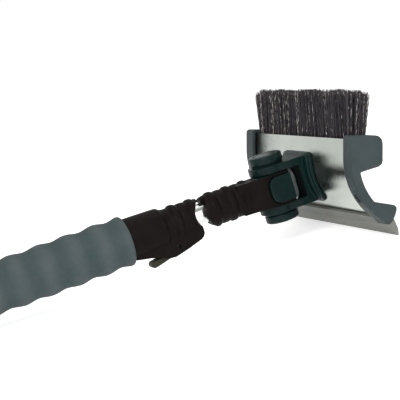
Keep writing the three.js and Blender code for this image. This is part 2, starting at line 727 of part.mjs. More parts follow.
function buildPivotBolt() {
  const bolt = union(
    solid(rodZ(BOLT_RADIUS, -28.6, FASTENER_LOW + 1)),
    solid(hexagonZ(13, FASTENER_LOW, FASTENER_LOW + 5)),
  );
  add(tool, 'pivot_bolt', geometryOf(bolt), MATERIALS.steel);
}

function buildPivotNut() {
  const nut = cut(
    solid(hexagonZ(13, -FASTENER_LOW - 4.4, -FASTENER_LOW)),
    solid(rodZ(BOLT_RADIUS + 0.25, -40, 0)),
  );
  add(tool, 'pivot_nut', geometryOf(nut), MATERIALS.steel);
}

function buildWasher(name, zLow) {
  const profile = tubeProfile(8.8, BOLT_RADIUS + 0.4, zLow, zLow + 1.4);
  add(tool, name, latheZ(profile), MATERIALS.steel);
}

// A cup that covers the bolt head or the nut. `side` is 1 above and -1 below.
function buildPivotCap(name, side) {
  const inner = 12.4;
  const ceiling = PIVOT_CAP_TOP - 1.6;
  const profile = [
    [inner, WASHER_LOW], [PIVOT_CAP_RADIUS - 1, WASHER_LOW], [PIVOT_CAP_RADIUS - 1, WASHER_LOW + 1.8],
    [PIVOT_CAP_RADIUS, WASHER_LOW + 2.2], [PIVOT_CAP_RADIUS, PIVOT_CAP_TOP - 1.2],
    [PIVOT_CAP_RADIUS - 1.2, PIVOT_CAP_TOP], [11.4, PIVOT_CAP_TOP], [11, PIVOT_CAP_TOP - 0.5],
    [10, PIVOT_CAP_TOP - 0.5], [9.6, PIVOT_CAP_TOP], [0, PIVOT_CAP_TOP], [0, ceiling],
    [inner, ceiling], [inner, WASHER_LOW],
  ];
  const cap = latheZ(profile, 24);
  if (side < 0) {
    cap.rotateX(Math.PI);
  }
  add(tool, name, geometryOf(solid(cap)), MATERIALS.clevis);
}

// ---- Head: plate, caps, blade and brush ---------------------------------------------------------

const CAP_INNER = HEAD_LENGTH / 2 - CAP_THICKNESS;
const PLATE_HALF_LENGTH = HEAD_LENGTH / 2 - 4.5;
const CAP_SCREW_Y = HEAD_LENGTH / 2 - 9;

// The plate's section: a straight top run into the curve. `margin` grows it on every side.
function plateSection(margin) {
  const outer = PLATE_RADIUS + margin;
  const inner = PLATE_RADIUS - PLATE_THICKNESS - margin;
  const end = Math.PI + THREE.MathUtils.degToRad(PLATE_END_ANGLE + margin);
  const shape = new THREE.Shape();
  shape.moveTo(ARC_U - inner, PLATE_TOP + margin);
  shape.lineTo(ARC_U - outer, PLATE_TOP + margin);
  shape.absarc(ARC_U, ARC_V, outer, Math.PI, end, false);
  shape.absarc(ARC_U, ARC_V, inner, end, Math.PI, true);
  return shape;
}

function screwShafts(radius) {
  const clevisShafts = CLEVIS_SCREWS.map(({ y, degrees }) =>
    solid(radialRod(radius, PLATE_RADIUS - 8, PLATE_RADIUS + 5, degrees, y)));
  const capShafts = [-1, 1].map((side) =>
    solid(radialRod(radius, PLATE_RADIUS - 8, PLATE_RADIUS + 5, CAP_SCREW_ANGLE, side * CAP_SCREW_Y)));
  return [...clevisShafts, ...capShafts];
}

function buildHeadPlate() {
  const sheet = solid(extrudeY(plateSection(0), -PLATE_HALF_LENGTH, PLATE_HALF_LENGTH, 0, 14));
  add(head, 'head_plate', geometryOf(cut(sheet, ...screwShafts(1.9))), MATERIALS.plate);
}

// The end cap from the side: brush housing at the top, curved band, and a toe over the blade.
function capSection() {
  const rimFront = ARC_U - RIM_RADIUS;
  const shape = new THREE.Shape();
  shape.moveTo(...onArc(BAND_RADIUS, 12.2));
  shape.lineTo(47, 23.2);
  shape.absarc(46, 28, 4.4, THREE.MathUtils.degToRad(-75), 0, false);
  shape.absarc(43.4, 43, 7, 0, Math.PI / 2, false);
  shape.absarc(rimFront + 3, 47, 3, Math.PI / 2, Math.PI, false);
  shape.absarc(ARC_U, ARC_V, RIM_RADIUS, Math.PI, Math.PI + THREE.MathUtils.degToRad(59.5), false);
  shape.lineTo(54.2, -26.1);
  shape.lineTo(57, -26.3);
  shape.lineTo(60.8, -22.4);
  shape.lineTo(62.8, -17.8);
  shape.absarc(60, -13.6, 3.8, THREE.MathUtils.degToRad(-20), THREE.MathUtils.degToRad(80), false);
  shape.lineTo(...onArc(BAND_RADIUS, 42.5));
  shape.absarc(ARC_U, ARC_V, BAND_RADIUS, Math.PI + THREE.MathUtils.degToRad(42.5),
    Math.PI + THREE.MathUtils.degToRad(12.2), true);
  return shape;
}

// `side` is -1 for the cap at the -Y end and 1 for the other.
function buildEndCap(name, side) {
  const outerFace = HEAD_LENGTH / 2;
  const low = side > 0 ? CAP_INNER : -outerFace;
  const high = side > 0 ? outerFace : -CAP_INNER;
  const shell = solid(extrudeY(capSection(), low, high, 1.2, 7));
  const slotHalf = PLATE_HALF_LENGTH + GAP;
  const plateSlot = solid(extrudeY(plateSection(GAP), -slotHalf, slotHalf, 0, 14));
  const screwY = side * CAP_SCREW_Y;
  const shaft = solid(radialRod(SCREW_HOLE, BAND_RADIUS + 1, RIM_RADIUS + 3, CAP_SCREW_ANGLE, screwY));
  const seat = solid(radialRod(4.4, RIM_RADIUS - 1.9, RIM_RADIUS + 3, CAP_SCREW_ANGLE, screwY, 20));
  const grooveY = side * (outerFace - 2.6);
  const groove = solid(extrudeY(arcSector(RIM_RADIUS + 1, RIM_RADIUS - 1, 15, 60),
    grooveY - 0.6, grooveY + 0.6, 0, 8));
  add(head, name, geometryOf(cut(shell, plateSlot, shaft, seat, groove)), MATERIALS.cap);
}

function buildCapScrew(name, side) {
  const y = side * CAP_SCREW_Y;
  const screw = union(
    solid(radialRod(SCREW_SHAFT, BAND_RADIUS + 1.4, RIM_RADIUS - 1.2, CAP_SCREW_ANGLE, y)),
    solid(radialRod(SCREW_HEAD, RIM_RADIUS - 1.6, RIM_RADIUS - 0.4, CAP_SCREW_ANGLE, y, 16)),
  );
  add(head, name, geometryOf(screw), MATERIALS.steel);
}

function buildClampPlate() {
  const top = PLATE_RADIUS - PLATE_THICKNESS - GAP;
  const sheet = solid(extrudeY(arcSector(top, top - 2, 10, 42), -32, 32, 0, 7));
  add(head, 'clamp_plate', geometryOf(cut(sheet, ...screwShafts(1.9))), MATERIALS.steel);
}

function buildClevisScrews() {
  const underside = PLATE_RADIUS - PLATE_THICKNESS - 2 - 2 * GAP;
  for (const { name, y, degrees } of CLEVIS_SCREWS) {
    const screw = union(
      solid(radialRod(SCREW_SHAFT, underside - 1, PLATE_RADIUS + 3, degrees, y)),
      solid(radialRod(SCREW_HEAD, underside - 2, underside, degrees, y, 14)),
    );
    add(head, name, geometryOf(screw), MATERIALS.steel);
  }
}

function buildBrushBlock() {
  const front = ARC_U - PLATE_RADIUS + PLATE_THICKNESS + GAP;
  const half = CAP_INNER - GAP;
  const shape = outline([
    [front + 0.6, 23.4], [42.5, 24.6], [46.5, 28], [47, 41.5], [44, 45.4], [front, 45.4],
    [front, 32],
  ]);
  add(head, 'brush_block', extrudeY(shape, -half, half), MATERIALS.block);
}

// The whole brush as one soft mass, slightly longer at the tips.
function buildBristles() {
  const half = CAP_INNER - 1;
  const low = 45.7;
  const shape = outline([[26.5, low], [43.5, low], [44.4, BRISTLE_TIP], [25.2, BRISTLE_TIP]]);
  const mass = extrudeY(shape, -half, half);
  const position = mass.attributes.position;
  for (let i = 0; i < position.count; i += 1) {
    if (position.getZ(i) > low + 1) {
      position.setY(i, position.getY(i) * 1.03);
    }
  }
  add(head, 'bristles', mass, MATERIALS.bristle);
}

const BLADE_TIP = [65.6, -36.3];

function buildBlade() {
  const half = HEAD_LENGTH / 2;
  const section = outline([
    [48.9, -21.3], BLADE_TIP, [64.8, -30], [61.3, -22.5], [57.5, -16.6], [52.6, -11.4],
    [49.8, -13.6], [51.4, -19.2],
  ]);
  const strip = solid(extrudeY(section, -half, half));
  const plateSlot = solid(extrudeY(plateSection(GAP), -200, 200, 0, 14));
  const ends = [-1, 1].map((side) => {
    const inner = side * (CAP_INNER - GAP);
    const outer = side * (half + 5);
    const grown = capSection().getPoints(7).map((point) => [point.x, point.y - GAP]);
    const raised = capSection().getPoints(7).map((point) => [point.x, point.y]);
    return [grown, raised].map((points) => solid(
      extrudeY(outline(points), Math.min(inner, outer), Math.max(inner, outer))));
  }).flat();
  add(head, 'scraper_blade', geometryOf(cut(strip, plateSlot, ...ends)), MATERIALS.blade);
}

// ---- Assembly -----------------------------------------------------------------------------------

buildGrip();
buildOuterTube();
buildButtCap();
buildCollar();
buildCollarScrew();
buildGuideBush();
buildLeverPin();
buildLeverSpring();
buildLockLever();
buildLockStud();
buildInnerTube();
buildTubePlug();
buildFrontSleeve();
buildSleevePin();
buildPivotHub();
buildButtonSpring();
buildReleaseButton();
buildLatchFrame();
buildIndexDisc();
buildClevis();
buildPivotBolt();
buildPivotNut();
buildWasher('upper_washer', WASHER_LOW);
buildWasher('lower_washer', -WASHER_HIGH);
buildPivotCap('upper_pivot_cap', 1);
buildPivotCap('lower_pivot_cap', -1);
buildHeadPlate();
buildEndCap('right_end_cap', -1);
buildEndCap('left_end_cap', 1);
buildCapScrew('right_cap_screw', -1);
buildCapScrew('left_cap_screw', 1);
buildClampPlate();
buildClevisScrews();
buildBrushBlock();
buildBristles();
buildBlade();

// Tip the tool until its scraper edge and the last crest of the grip are level, then set it down.
const tip = new THREE.Vector3(BLADE_TIP[0], 0, BLADE_TIP[1]).applyAxisAngle(Y_AXIS, HEAD_LEAN);
const lastCrestX = GRIP_REAR + GRIP_PITCH;
tool.rotation.y = -Math.atan2(-GRIP_CREST - tip.z, tip.x - lastCrestX);

const group = new THREE.Group();
group.add(tool);
group.updateMatrixWorld(true);
const bounds = new THREE.Box3().setFromObject(group, true);
const middle = bounds.getCenter(new THREE.Vector3());
tool.position.set(-middle.x, -middle.y, -bounds.min.z);
group.updateMatrixWorld(true);

export default group;
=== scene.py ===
# Looks of the extending snow brush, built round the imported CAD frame.
#
# Pieces are drawn in millimetres, either in the handle's axes (X along the handle towards the head,
# Z the swivel axis, origin on the swivel axis) or in the head's axes, which lean forward by HEAD_LEAN.

import json
import math
import random

import bmesh
import bpy
from mathutils import Matrix, Vector


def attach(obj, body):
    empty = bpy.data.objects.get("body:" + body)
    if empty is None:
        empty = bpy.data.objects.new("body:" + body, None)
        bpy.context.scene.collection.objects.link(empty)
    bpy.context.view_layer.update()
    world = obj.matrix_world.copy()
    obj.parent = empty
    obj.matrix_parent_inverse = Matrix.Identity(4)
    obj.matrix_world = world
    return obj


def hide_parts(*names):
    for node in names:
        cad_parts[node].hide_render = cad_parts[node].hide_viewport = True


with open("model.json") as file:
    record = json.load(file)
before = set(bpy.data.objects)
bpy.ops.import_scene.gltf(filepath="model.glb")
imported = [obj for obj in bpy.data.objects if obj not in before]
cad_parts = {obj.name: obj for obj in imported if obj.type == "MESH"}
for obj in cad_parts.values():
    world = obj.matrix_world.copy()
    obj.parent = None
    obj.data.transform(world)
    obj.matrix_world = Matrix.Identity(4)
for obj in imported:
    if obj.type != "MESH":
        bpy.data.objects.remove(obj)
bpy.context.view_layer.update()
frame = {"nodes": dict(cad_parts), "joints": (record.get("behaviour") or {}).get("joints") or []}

# ---- Driving dimensions, in millimetres and degrees --------------------------------------------

HEAD_LENGTH = 254
HEAD_LEAN = 17.5
CAP_THICKNESS = 18
ARC_CENTRE = (83, 30)                 # of the head's curve, in the head's axes (u, v)
RIM_RADIUS = 62
PLATE_RADIUS = 58.5
PLATE_THICKNESS = 1.5
PLATE_TOP = 46.7
PLATE_END = 57.5
BAND_RADIUS = 54.5
BRISTLE_TIP = 88.5
CAP_SCREW_ANGLE = 33

TUBE_RADIUS = 9.5
TUBE_WALL = 1.1
TUBE_FRONT = -20
TUBE_REAR = -492
TRAVEL = 252
LOCK_HOLES = 7
LOCK_X = -88
OUTER_RADIUS = 11

GRIP_FRONT = -147.5
GRIP_BUMPS = 14
GRIP_PITCH = 26.3
GRIP_VALLEY = 21.8
GRIP_CREST = 23.5
GRIP_REAR = GRIP_FRONT - GRIP_BUMPS * GRIP_PITCH

SLEEVE_REAR = -73
CHEEK_FRONT = 11
CHEEK_HALF_WIDTH = 20.5
CHEEK_HALF_HEIGHT = 14.3
HUB_RADIUS = 23
HUB_HALF_WIDTH = 17.2
HUB_HALF_HEIGHT = 14.6
NOSE_STRIP_FRONT = 16.4              # X where the pale strip of the hub's nose ends

EAR_INNER = 15
EAR_OUTER = 22
EAR_RADIUS = 18.5
BLOCK_HALF_WIDTH = 20
FLANGE_HALF_WIDTH = 33
FLANGE_THICKNESS = 4.5
PIVOT_CAP_RADIUS = 15.6
PIVOT_CAP_TOP = 31.3

COLLAR_FRONT = -76
COLLAR_RINGS_REAR = -103.9
SLEEVE_RINGS_REAR = -66.5
RECESS_CENTRE_X = -16.5               # of the clevis's round recess
RECESS_RADIUS = 43.2

LEVER_PIN = (-105.9, -19.2)
SLEEVE_PIN_X = -37
COLLAR_SCREW = (-135, -3)

GAP = 0.3                             # between pieces that touch
LEVER_PIN_HOLE = 1.7                  # radii of the holes, screws and their seats
SLEEVE_PIN_HOLE = 2.1
SLEEVE_PIN_HOLE_TOP = 12.6
PIVOT_HOLE = 4.3
LOCK_HOLE = 3.2
CAP_SCREW_SHAFT = 1.6
CAP_SCREW_HOLE = 1.9
CAP_SCREW_HEAD = 3.6
CAP_SCREW_SEAT = 4.4
COLLAR_SCREW_SHAFT = 1.8
COLLAR_SCREW_HOLE = 2.1
COLLAR_SCREW_HEAD = 2.6
COLLAR_SCREW_SEAT = 2.9

# The view's place is in millimetres and its directions are unit vectors, all in handle axes.
VIEW_PLACE = (-509.1, -1429.2, 255.6)
VIEW_RIGHT = (0.9003, -0.3252, -0.2892)
VIEW_UP = (0.3252, 0.0612, 0.9436)
VIEW_LENS = 150.8

# ---- Frame ---------------------------------------------------------------------------------------

MM = 0.001


def handle_matrix():
    """Handle axes in metres to the row frame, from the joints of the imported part."""
    joints = {joint["name"]: joint for joint in frame["joints"]}
    x_axis = Vector(joints["telescope"]["axis"]).normalized()
    z_axis = Vector(joints["head_swivel"]["axis"]).normalized()
    y_axis = z_axis.cross(x_axis)
    turn = Matrix((x_axis, y_axis, z_axis)).transposed().to_4x4()
    return Matrix.Translation(Vector(joints["head_swivel"]["pos_m"])) @ turn


HANDLE = handle_matrix()
HEAD = HANDLE @ Matrix.Rotation(math.radians(HEAD_LEAN), 4, "Y")

# ---- Shapes: each is (vertices, faces) in millimetres -------------------------------------------


def arc(centre, radius, start, end, steps):
    """Points from one angle to another, in degrees."""
    points = []
    for step in range(steps + 1):
        angle = math.radians(start + (end - start) * step / steps)
        points.append((centre[0] + radius * math.cos(angle), centre[1] + radius * math.sin(angle)))
    return points


def lathe(profile, axis="x", sides=96):
    """Turns (radius, distance) pairs about an axis. A profile that stays off the axis is a ring."""
    vertices = []
    rings = []
    for radius, distance in profile:
        count = sides if radius > 0 else 1
        ring = []
        for side in range(count):
            turn = 2 * math.pi * side / sides
            a = radius * math.cos(turn)
            b = radius * math.sin(turn)
            place = {"x": (distance, a, b), "y": (b, distance, a), "z": (a, b, distance)}[axis]
            ring.append(len(vertices))
            vertices.append(place)
        rings.append(ring)
    neighbours = list(zip(rings, rings[1:]))
    if profile[0][0] > 0:
        neighbours.append((rings[-1], rings[0]))
    faces = []
    for low, high in neighbours:
        for side in range(sides):
            after = side + 1
            quad = [low[side % len(low)], low[after % len(low)],
                    high[after % len(high)], high[side % len(high)]]
            face = list(dict.fromkeys(quad))
            if len(face) > 2:
                faces.append(face)
    return vertices, faces


def rod(radius, low, high, axis="x", sides=64):
    return lathe([(0, low), (radius, low), (radius, high), (0, high)], axis, sides)


def prism(outline, low, high, axis="y"):
    """Extrudes an outline along an axis. The outline holds the other two coordinates in order."""
    places = {
        "x": lambda a, b, s: (s, a, b),
        "y": lambda a, b, s: (a, s, b),
        "z": lambda a, b, s: (a, b, s),
    }
    place = places[axis]
    count = len(outline)
    vertices = [place(a, b, low) for a, b in outline] + [place(a, b, high) for a, b in outline]
    faces = [list(range(count)), list(range(2 * count - 1, count - 1, -1))]
    for i in range(count):
        j = (i + 1) % count
        faces.append([j, i, count + i, count + j])
    return vertices, faces


def block(x, y, z):
    """A box from three (low, high) pairs."""
    return prism([(x[0], y[0]), (x[1], y[0]), (x[1], y[1]), (x[0], y[1])], z[0], z[1], "z")


def rounded_rectangle(a, b, radius, steps=8):
    return (arc((a[1] - radius, b[0] + radius), radius, -90, 0, steps)
            + arc((a[1] - radius, b[1] - radius), radius, 0, 90, steps)
            + arc((a[0] + radius, b[1] - radius), radius, 90, 180, steps)
            + arc((a[0] + radius, b[0] + radius), radius, 180, 270, steps))


def placed(shape, x=0, y=0, z=0):
    vertices, faces = shape
    return [(a + x, b + y, c + z) for a, b, c in vertices], faces


def turned(shape, degrees, axis="Y"):
    matrix = Matrix.Rotation(math.radians(degrees), 3, axis)
    vertices, faces = shape
    return [tuple(matrix @ Vector(vertex)) for vertex in vertices], faces


def on_arc(radius, degrees):
    angle = math.radians(degrees)
    return ARC_CENTRE[0] - radius * math.cos(angle), ARC_CENTRE[1] - radius * math.sin(angle)


def head_arc(radius, start, end, steps):
    """A stretch of the head's curve, from high to low."""
    return arc(ARC_CENTRE, radius, 180 + start, 180 + end, steps)


def sector(outer, inner, start, end, steps=32):
    return head_arc(outer, start, end, steps) + head_arc(inner, end, start, steps)


def radial_rod(radius, low, high, degrees, y, sides=40):
    """A rod that stands square on the head's curve, in the head's axes."""
    shape = turned(rod(radius, 0, high - low, "x", sides), 180 - degrees)
    u, v = on_arc(low, degrees)
    return placed(shape, u, y, v)


# ---- Objects -------------------------------------------------------------------------------------


def raw_object(name, shape, matrix=HANDLE):
    vertices, faces = shape
    mesh = bpy.data.meshes.new(name)
    mesh.from_pydata([tuple(c * MM for c in vertex) for vertex in vertices], [], faces)
    work = bmesh.new()
    work.from_mesh(mesh)
    bmesh.ops.remove_doubles(work, verts=work.verts, dist=1e-7)
    bmesh.ops.recalc_face_normals(work, faces=work.faces)
    work.to_mesh(mesh)
    work.free()
    obj = bpy.data.objects.new(name, mesh)
    bpy.context.scene.collection.objects.link(obj)
    obj.matrix_world = matrix
    return obj


def apply_modifiers(obj):
    bpy.context.view_layer.update()
    graph = bpy.context.evaluated_depsgraph_get()
    mesh = bpy.data.meshes.new_from_object(obj.evaluated_get(graph))
    obj.modifiers.clear()
    obj.data = mesh


def combine(obj, shapes, operation):
    """Adds the shapes to the object, or cuts them from it."""
    tools = []
    for shape in shapes:
        tool = raw_object("tool", shape, obj.matrix_world.copy())
        tools.append(tool)
        modifier = obj.modifiers.new(operation, "BOOLEAN")
        modifier.operation = operation
        modifier.solver = "EXACT"
        modifier.object = tool
    apply_modifiers(obj)
    for tool in tools:
        bpy.data.objects.remove(tool)


def smooth_shading(obj, angle=None):
    for polygon in obj.data.polygons:
        polygon.use_smooth = True
    if angle is not None:
        obj.data.set_sharp_from_angle(angle=math.radians(angle))


def finish_piece(obj, surface, body, nodes):
    obj.data.materials.clear()
    obj.data.materials.append(surface)
    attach(obj, body)
    if nodes:
        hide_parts(*nodes)
    return obj


def moulded(name, adds, cuts=(), matrix=HANDLE, voxel=0.4, rounds=5):
    """A moulded piece: shapes joined and cut, then its edges softened by remeshing."""
    obj = raw_object(name, adds[0], matrix)
    if len(adds) > 1:
        combine(obj, adds[1:], "UNION")
    if cuts:
        combine(obj, cuts, "DIFFERENCE")
    remesh = obj.modifiers.new("remesh", "REMESH")
    remesh.mode = "VOXEL"
    remesh.voxel_size = voxel * MM
    soften = obj.modifiers.new("soften", "SMOOTH")
    soften.factor = 0.5
    soften.iterations = rounds
    apply_modifiers(obj)
    smooth_shading(obj)
    return obj


def machined(name, adds, cuts=(), matrix=HANDLE, edge=0.2, angle=35):
    """A metal or pressed piece: crisp faces with a fine bevel."""
    obj = raw_object(name, adds[0], matrix)
    if len(adds) > 1:
        combine(obj, adds[1:], "UNION")
    if cuts:
        combine(obj, cuts, "DIFFERENCE")
    if edge:
        bevel = obj.modifiers.new("edge", "BEVEL")
        bevel.width = edge * MM
        bevel.segments = 2
        bevel.limit_method = "ANGLE"
        bevel.angle_limit = math.radians(angle)
        apply_modifiers(obj)
    smooth_shading(obj, angle)
    return obj


# ---- Materials -----------------------------------------------------------------------------------


def new_surface(name):
    surface = bpy.data.materials.new(name)
    surface.use_nodes = True
    tree = surface.node_tree
    tree.nodes.clear()
    output = tree.nodes.new("ShaderNodeOutputMaterial")
    shader = tree.nodes.new("ShaderNodeBsdfPrincipled")
    tree.links.new(shader.outputs["BSDF"], output.inputs["Surface"])
    return surface, tree, shader


def object_space(tree, scale=(1, 1, 1), turn=(0, 0, 0)):
    """Coordinates in the piece's own axes, in metres, stretched by scale."""
    coordinates = tree.nodes.new("ShaderNodeTexCoord")
    mapping = tree.nodes.new("ShaderNodeMapping")
    mapping.inputs["Scale"].default_value = scale
    mapping.inputs["Rotation"].default_value = turn
    tree.links.new(coordinates.outputs["Object"], mapping.inputs["Vector"])
    return mapping.outputs["Vector"]


def noise(tree, vector, scale, detail=4, roughness=0.55):
    texture = tree.nodes.new("ShaderNodeTexNoise")
    texture.inputs["Scale"].default_value = scale
    texture.inputs["Detail"].default_value = detail
    texture.inputs["Roughness"].default_value = roughness
    tree.links.new(vector, texture.inputs["Vector"])
    return texture.outputs["Fac"]


def colour_ramp(tree, value, low, high, start=0.3, end=0.7):
    ramp = tree.nodes.new("ShaderNodeValToRGB")
    ramp.color_ramp.elements[0].position = start
    ramp.color_ramp.elements[1].position = end
    ramp.color_ramp.elements[0].color = (*low, 1)
    ramp.color_ramp.elements[1].color = (*high, 1)
    tree.links.new(value, ramp.inputs["Fac"])
    return ramp.outputs["Color"]


def value_range(tree, value, low, high):
    """Spreads the middle of a noise over low to high."""
    spread = tree.nodes.new("ShaderNodeMapRange")
    spread.inputs["From Min"].default_value = 0.3
    spread.inputs["From Max"].default_value = 0.7
    spread.inputs["To Min"].default_value = low
    spread.inputs["To Max"].default_value = high
    tree.links.new(value, spread.inputs["Value"])
    return spread.outputs["Result"]


def mixed(tree, share, first, second):
    """Two colours mixed by a value."""
    mix = tree.nodes.new("ShaderNodeMix")
    mix.data_type = "RGBA"
    tree.links.new(share, mix.inputs["Factor"])
    tree.links.new(first, mix.inputs["A"])
    tree.links.new(second, mix.inputs["B"])
    return mix.outputs["Result"]


def bump(tree, shader, heights):
    """Adds (height, strength, depth in millimetres) layers to the shader's normal."""
    normal = None
    for height, strength, depth in heights:
        layer = tree.nodes.new("ShaderNodeBump")
        layer.inputs["Strength"].default_value = strength
        layer.inputs["Distance"].default_value = depth * MM
        tree.links.new(height, layer.inputs["Height"])
        if normal is not None:
            tree.links.new(normal, layer.inputs["Normal"])
        normal = layer.outputs["Normal"]
    tree.links.new(normal, shader.inputs["Normal"])


def edge_wear(tree, base, worn, start=0.52, end=0.62):
    """Lighter where the surface is convex."""
    geometry = tree.nodes.new("ShaderNodeNewGeometry")
    share = tree.nodes.new("ShaderNodeMapRange")
    share.inputs["From Min"].default_value = start
    share.inputs["From Max"].default_value = end
    share.inputs["To Max"].default_value = 0.6
    tree.links.new(geometry.outputs["Pointiness"], share.inputs["Value"])
    edge = tree.nodes.new("ShaderNodeRGB")
    edge.outputs["Color"].default_value = (*worn, 1)
    return mixed(tree, share.outputs["Result"], base, edge.outputs["Color"])


def foam_surface():
    """Closed-cell foam: matt, finely pitted, a little mottled, with a painted highlight on the wave
    crests.
    """
    surface, tree, shader = new_surface("foam")
    space = object_space(tree)
    cells = tree.nodes.new("ShaderNodeTexVoronoi")
    cells.inputs["Scale"].default_value = 1100
    tree.links.new(space, cells.inputs["Vector"])
    mottle = noise(tree, space, 60, 6)
    pits = noise(tree, space, 1500, 3)
    tint = colour_ramp(tree, mottle, (0.032, 0.048, 0.050), (0.048, 0.064, 0.066))
    fleck = colour_ramp(tree, pits, (0.026, 0.038, 0.040), (0.070, 0.088, 0.090), 0.35, 0.75)
    share = value_range(tree, pits, 0.1, 0.5)
    # Painted highlight: the colour turns lighter towards the crests of the grip's waves. It stands in for
    # the light on the crests and the shade in the valleys.
    crest = tree.nodes.new("ShaderNodeAttribute")
    crest.attribute_name = "crest"
    crest_highlight = colour_ramp(tree, mottle, (0.066, 0.079, 0.084), (0.084, 0.098, 0.102))
    crest_highlight_share = tree.nodes.new("ShaderNodeMapRange")
    crest_highlight_share.inputs["From Min"].default_value = 0.2
    crest_highlight_share.inputs["To Max"].default_value = 0.5
    tree.links.new(crest.outputs["Fac"], crest_highlight_share.inputs["Value"])
    body = mixed(tree, share, tint, fleck)
    tree.links.new(mixed(tree, crest_highlight_share.outputs["Result"], body, crest_highlight), shader.inputs["Base Color"])
    tree.links.new(value_range(tree, mottle, 0.86, 0.97), shader.inputs["Roughness"])
    shader.inputs["Sheen Weight"].default_value = 0.04
    shader.inputs["Sheen Roughness"].default_value = 0.6
    shader.inputs["Specular IOR Level"].default_value = 0.08
    bump(tree, shader, [(cells.outputs["Distance"], 0.45, 0.25), (mottle, 0.25, 0.8)])
    return surface


def moulded_plastic(name, dark, light, worn, rough, gloss=0.2, grain=900, depth=0.05):
    """Injection-moulded plastic: fine grain, slow colour drift, worn edges."""
    surface, tree, shader = new_surface(name)
    space = object_space(tree)
    drift = noise(tree, space, 45, 5)
    texture = noise(tree, space, grain, 3, 0.6)
    body = colour_ramp(tree, drift, dark, light)
    tree.links.new(edge_wear(tree, body, worn), shader.inputs["Base Color"])
    tree.links.new(value_range(tree, texture, rough[0], rough[1]), shader.inputs["Roughness"])
    shader.inputs["Specular IOR Level"].default_value = gloss
    bump(tree, shader, [(texture, 0.35, depth), (drift, 0.15, 0.3)])
    return surface


def rolled_metal():
    """The head's bright sheet: fine rolling lines up and down, a few smudges."""
    surface, tree, shader = new_surface("plate_metal")
    lines = noise(tree, object_space(tree, (0.01, 1, 0.01)), 4500, 2, 0.5)
    bands = noise(tree, object_space(tree, (0.05, 1, 0.05)), 60, 3)
    smudge = noise(tree, object_space(tree), 35, 6, 0.6)
    body = colour_ramp(tree, lines, (0.42, 0.45, 0.41), (0.52, 0.55, 0.505))
    cloud = colour_ramp(tree, smudge, (0.42, 0.45, 0.42), (0.56, 0.59, 0.55))
    tree.links.new(mixed(tree, value_range(tree, bands, 0.2, 0.6), body, cloud),
                   shader.inputs["Base Color"])
    shader.inputs["Metallic"].default_value = 1
    tree.links.new(value_range(tree, smudge, 0.14, 0.20), shader.inputs["Roughness"])
    bump(tree, shader, [(lines, 1.0, 0.06), (bands, 0.08, 0.15)])
    return surface


def bright_tube():
    """Polished tube with fine draw lines along its length."""
    surface, tree, shader = new_surface("tube_metal")
    lines = noise(tree, object_space(tree, (0.02, 1, 1)), 1600, 3)
    smudge = noise(tree, object_space(tree), 70, 5)
    tree.links.new(colour_ramp(tree, smudge, (0.70, 0.71, 0.69), (0.82, 0.83, 0.81)),
                   shader.inputs["Base Color"])
    shader.inputs["Metallic"].default_value = 1
    tree.links.new(value_range(tree, lines, 0.16, 0.22), shader.inputs["Roughness"])
    bump(tree, shader, [(lines, 0.03, 0.01)])
    return surface


def plated_steel():
    """Zinc-plated fasteners and pressed steel."""
    surface, tree, shader = new_surface("steel")
    space = object_space(tree)
    spangle = noise(tree, space, 500, 5)
    tree.links.new(colour_ramp(tree, spangle, (0.42, 0.43, 0.43), (0.60, 0.61, 0.61)),
                   shader.inputs["Base Color"])
    shader.inputs["Metallic"].default_value = 1
    tree.links.new(value_range(tree, spangle, 0.25, 0.42), shader.inputs["Roughness"])
    bump(tree, shader, [(spangle, 0.12, 0.04)])
    return surface


def blackened_steel():
    """Pins and the rim screws: black oxide with a little brown."""
    surface, tree, shader = new_surface("black_steel")
    stain = noise(tree, object_space(tree), 400, 5)
    tree.links.new(colour_ramp(tree, stain, (0.018, 0.016, 0.014), (0.050, 0.044, 0.038)),
                   shader.inputs["Base Color"])
    shader.inputs["Metallic"].default_value = 1
    tree.links.new(value_range(tree, stain, 0.35, 0.5), shader.inputs["Roughness"])
    bump(tree, shader, [(stain, 0.12, 0.04)])
    return surface


def bristle_fibre():
    """Nylon strands: charcoal with a violet cast, with pale flecks on some."""
    surface, tree, shader = new_surface("bristle")
    attribute = tree.nodes.new("ShaderNodeAttribute")
    attribute.attribute_name = "strand"
    tint = colour_ramp(tree, attribute.outputs["Fac"], (0.010, 0.009, 0.011), (0.058, 0.050, 0.056),
                       0.1, 0.9)
    pale = tree.nodes.new("ShaderNodeRGB")
    pale.outputs["Color"].default_value = (0.42, 0.38, 0.36, 1)
    share = tree.nodes.new("ShaderNodeMapRange")
    share.inputs["From Min"].default_value = 1.42
    share.inputs["From Max"].default_value = 1.5
    fleck = noise(tree, object_space(tree, (1, 1, 0.6)), 520, 2)
    both = tree.nodes.new("ShaderNodeMath")
    tree.links.new(attribute.outputs["Fac"], both.inputs[0])
    tree.links.new(fleck, both.inputs[1])
    tree.links.new(both.outputs["Value"], share.inputs["Value"])
    tree.links.new(mixed(tree, share.outputs["Result"], tint, pale.outputs["Color"]),
                   shader.inputs["Base Color"])
    shade = noise(tree, object_space(tree), 400, 2)
    tree.links.new(value_range(tree, shade, 0.42, 0.6), shader.inputs["Roughness"])
    shader.inputs["Specular IOR Level"].default_value = 0.2
    bump(tree, shader, [(shade, 0.2, 0.05)])
    return surface


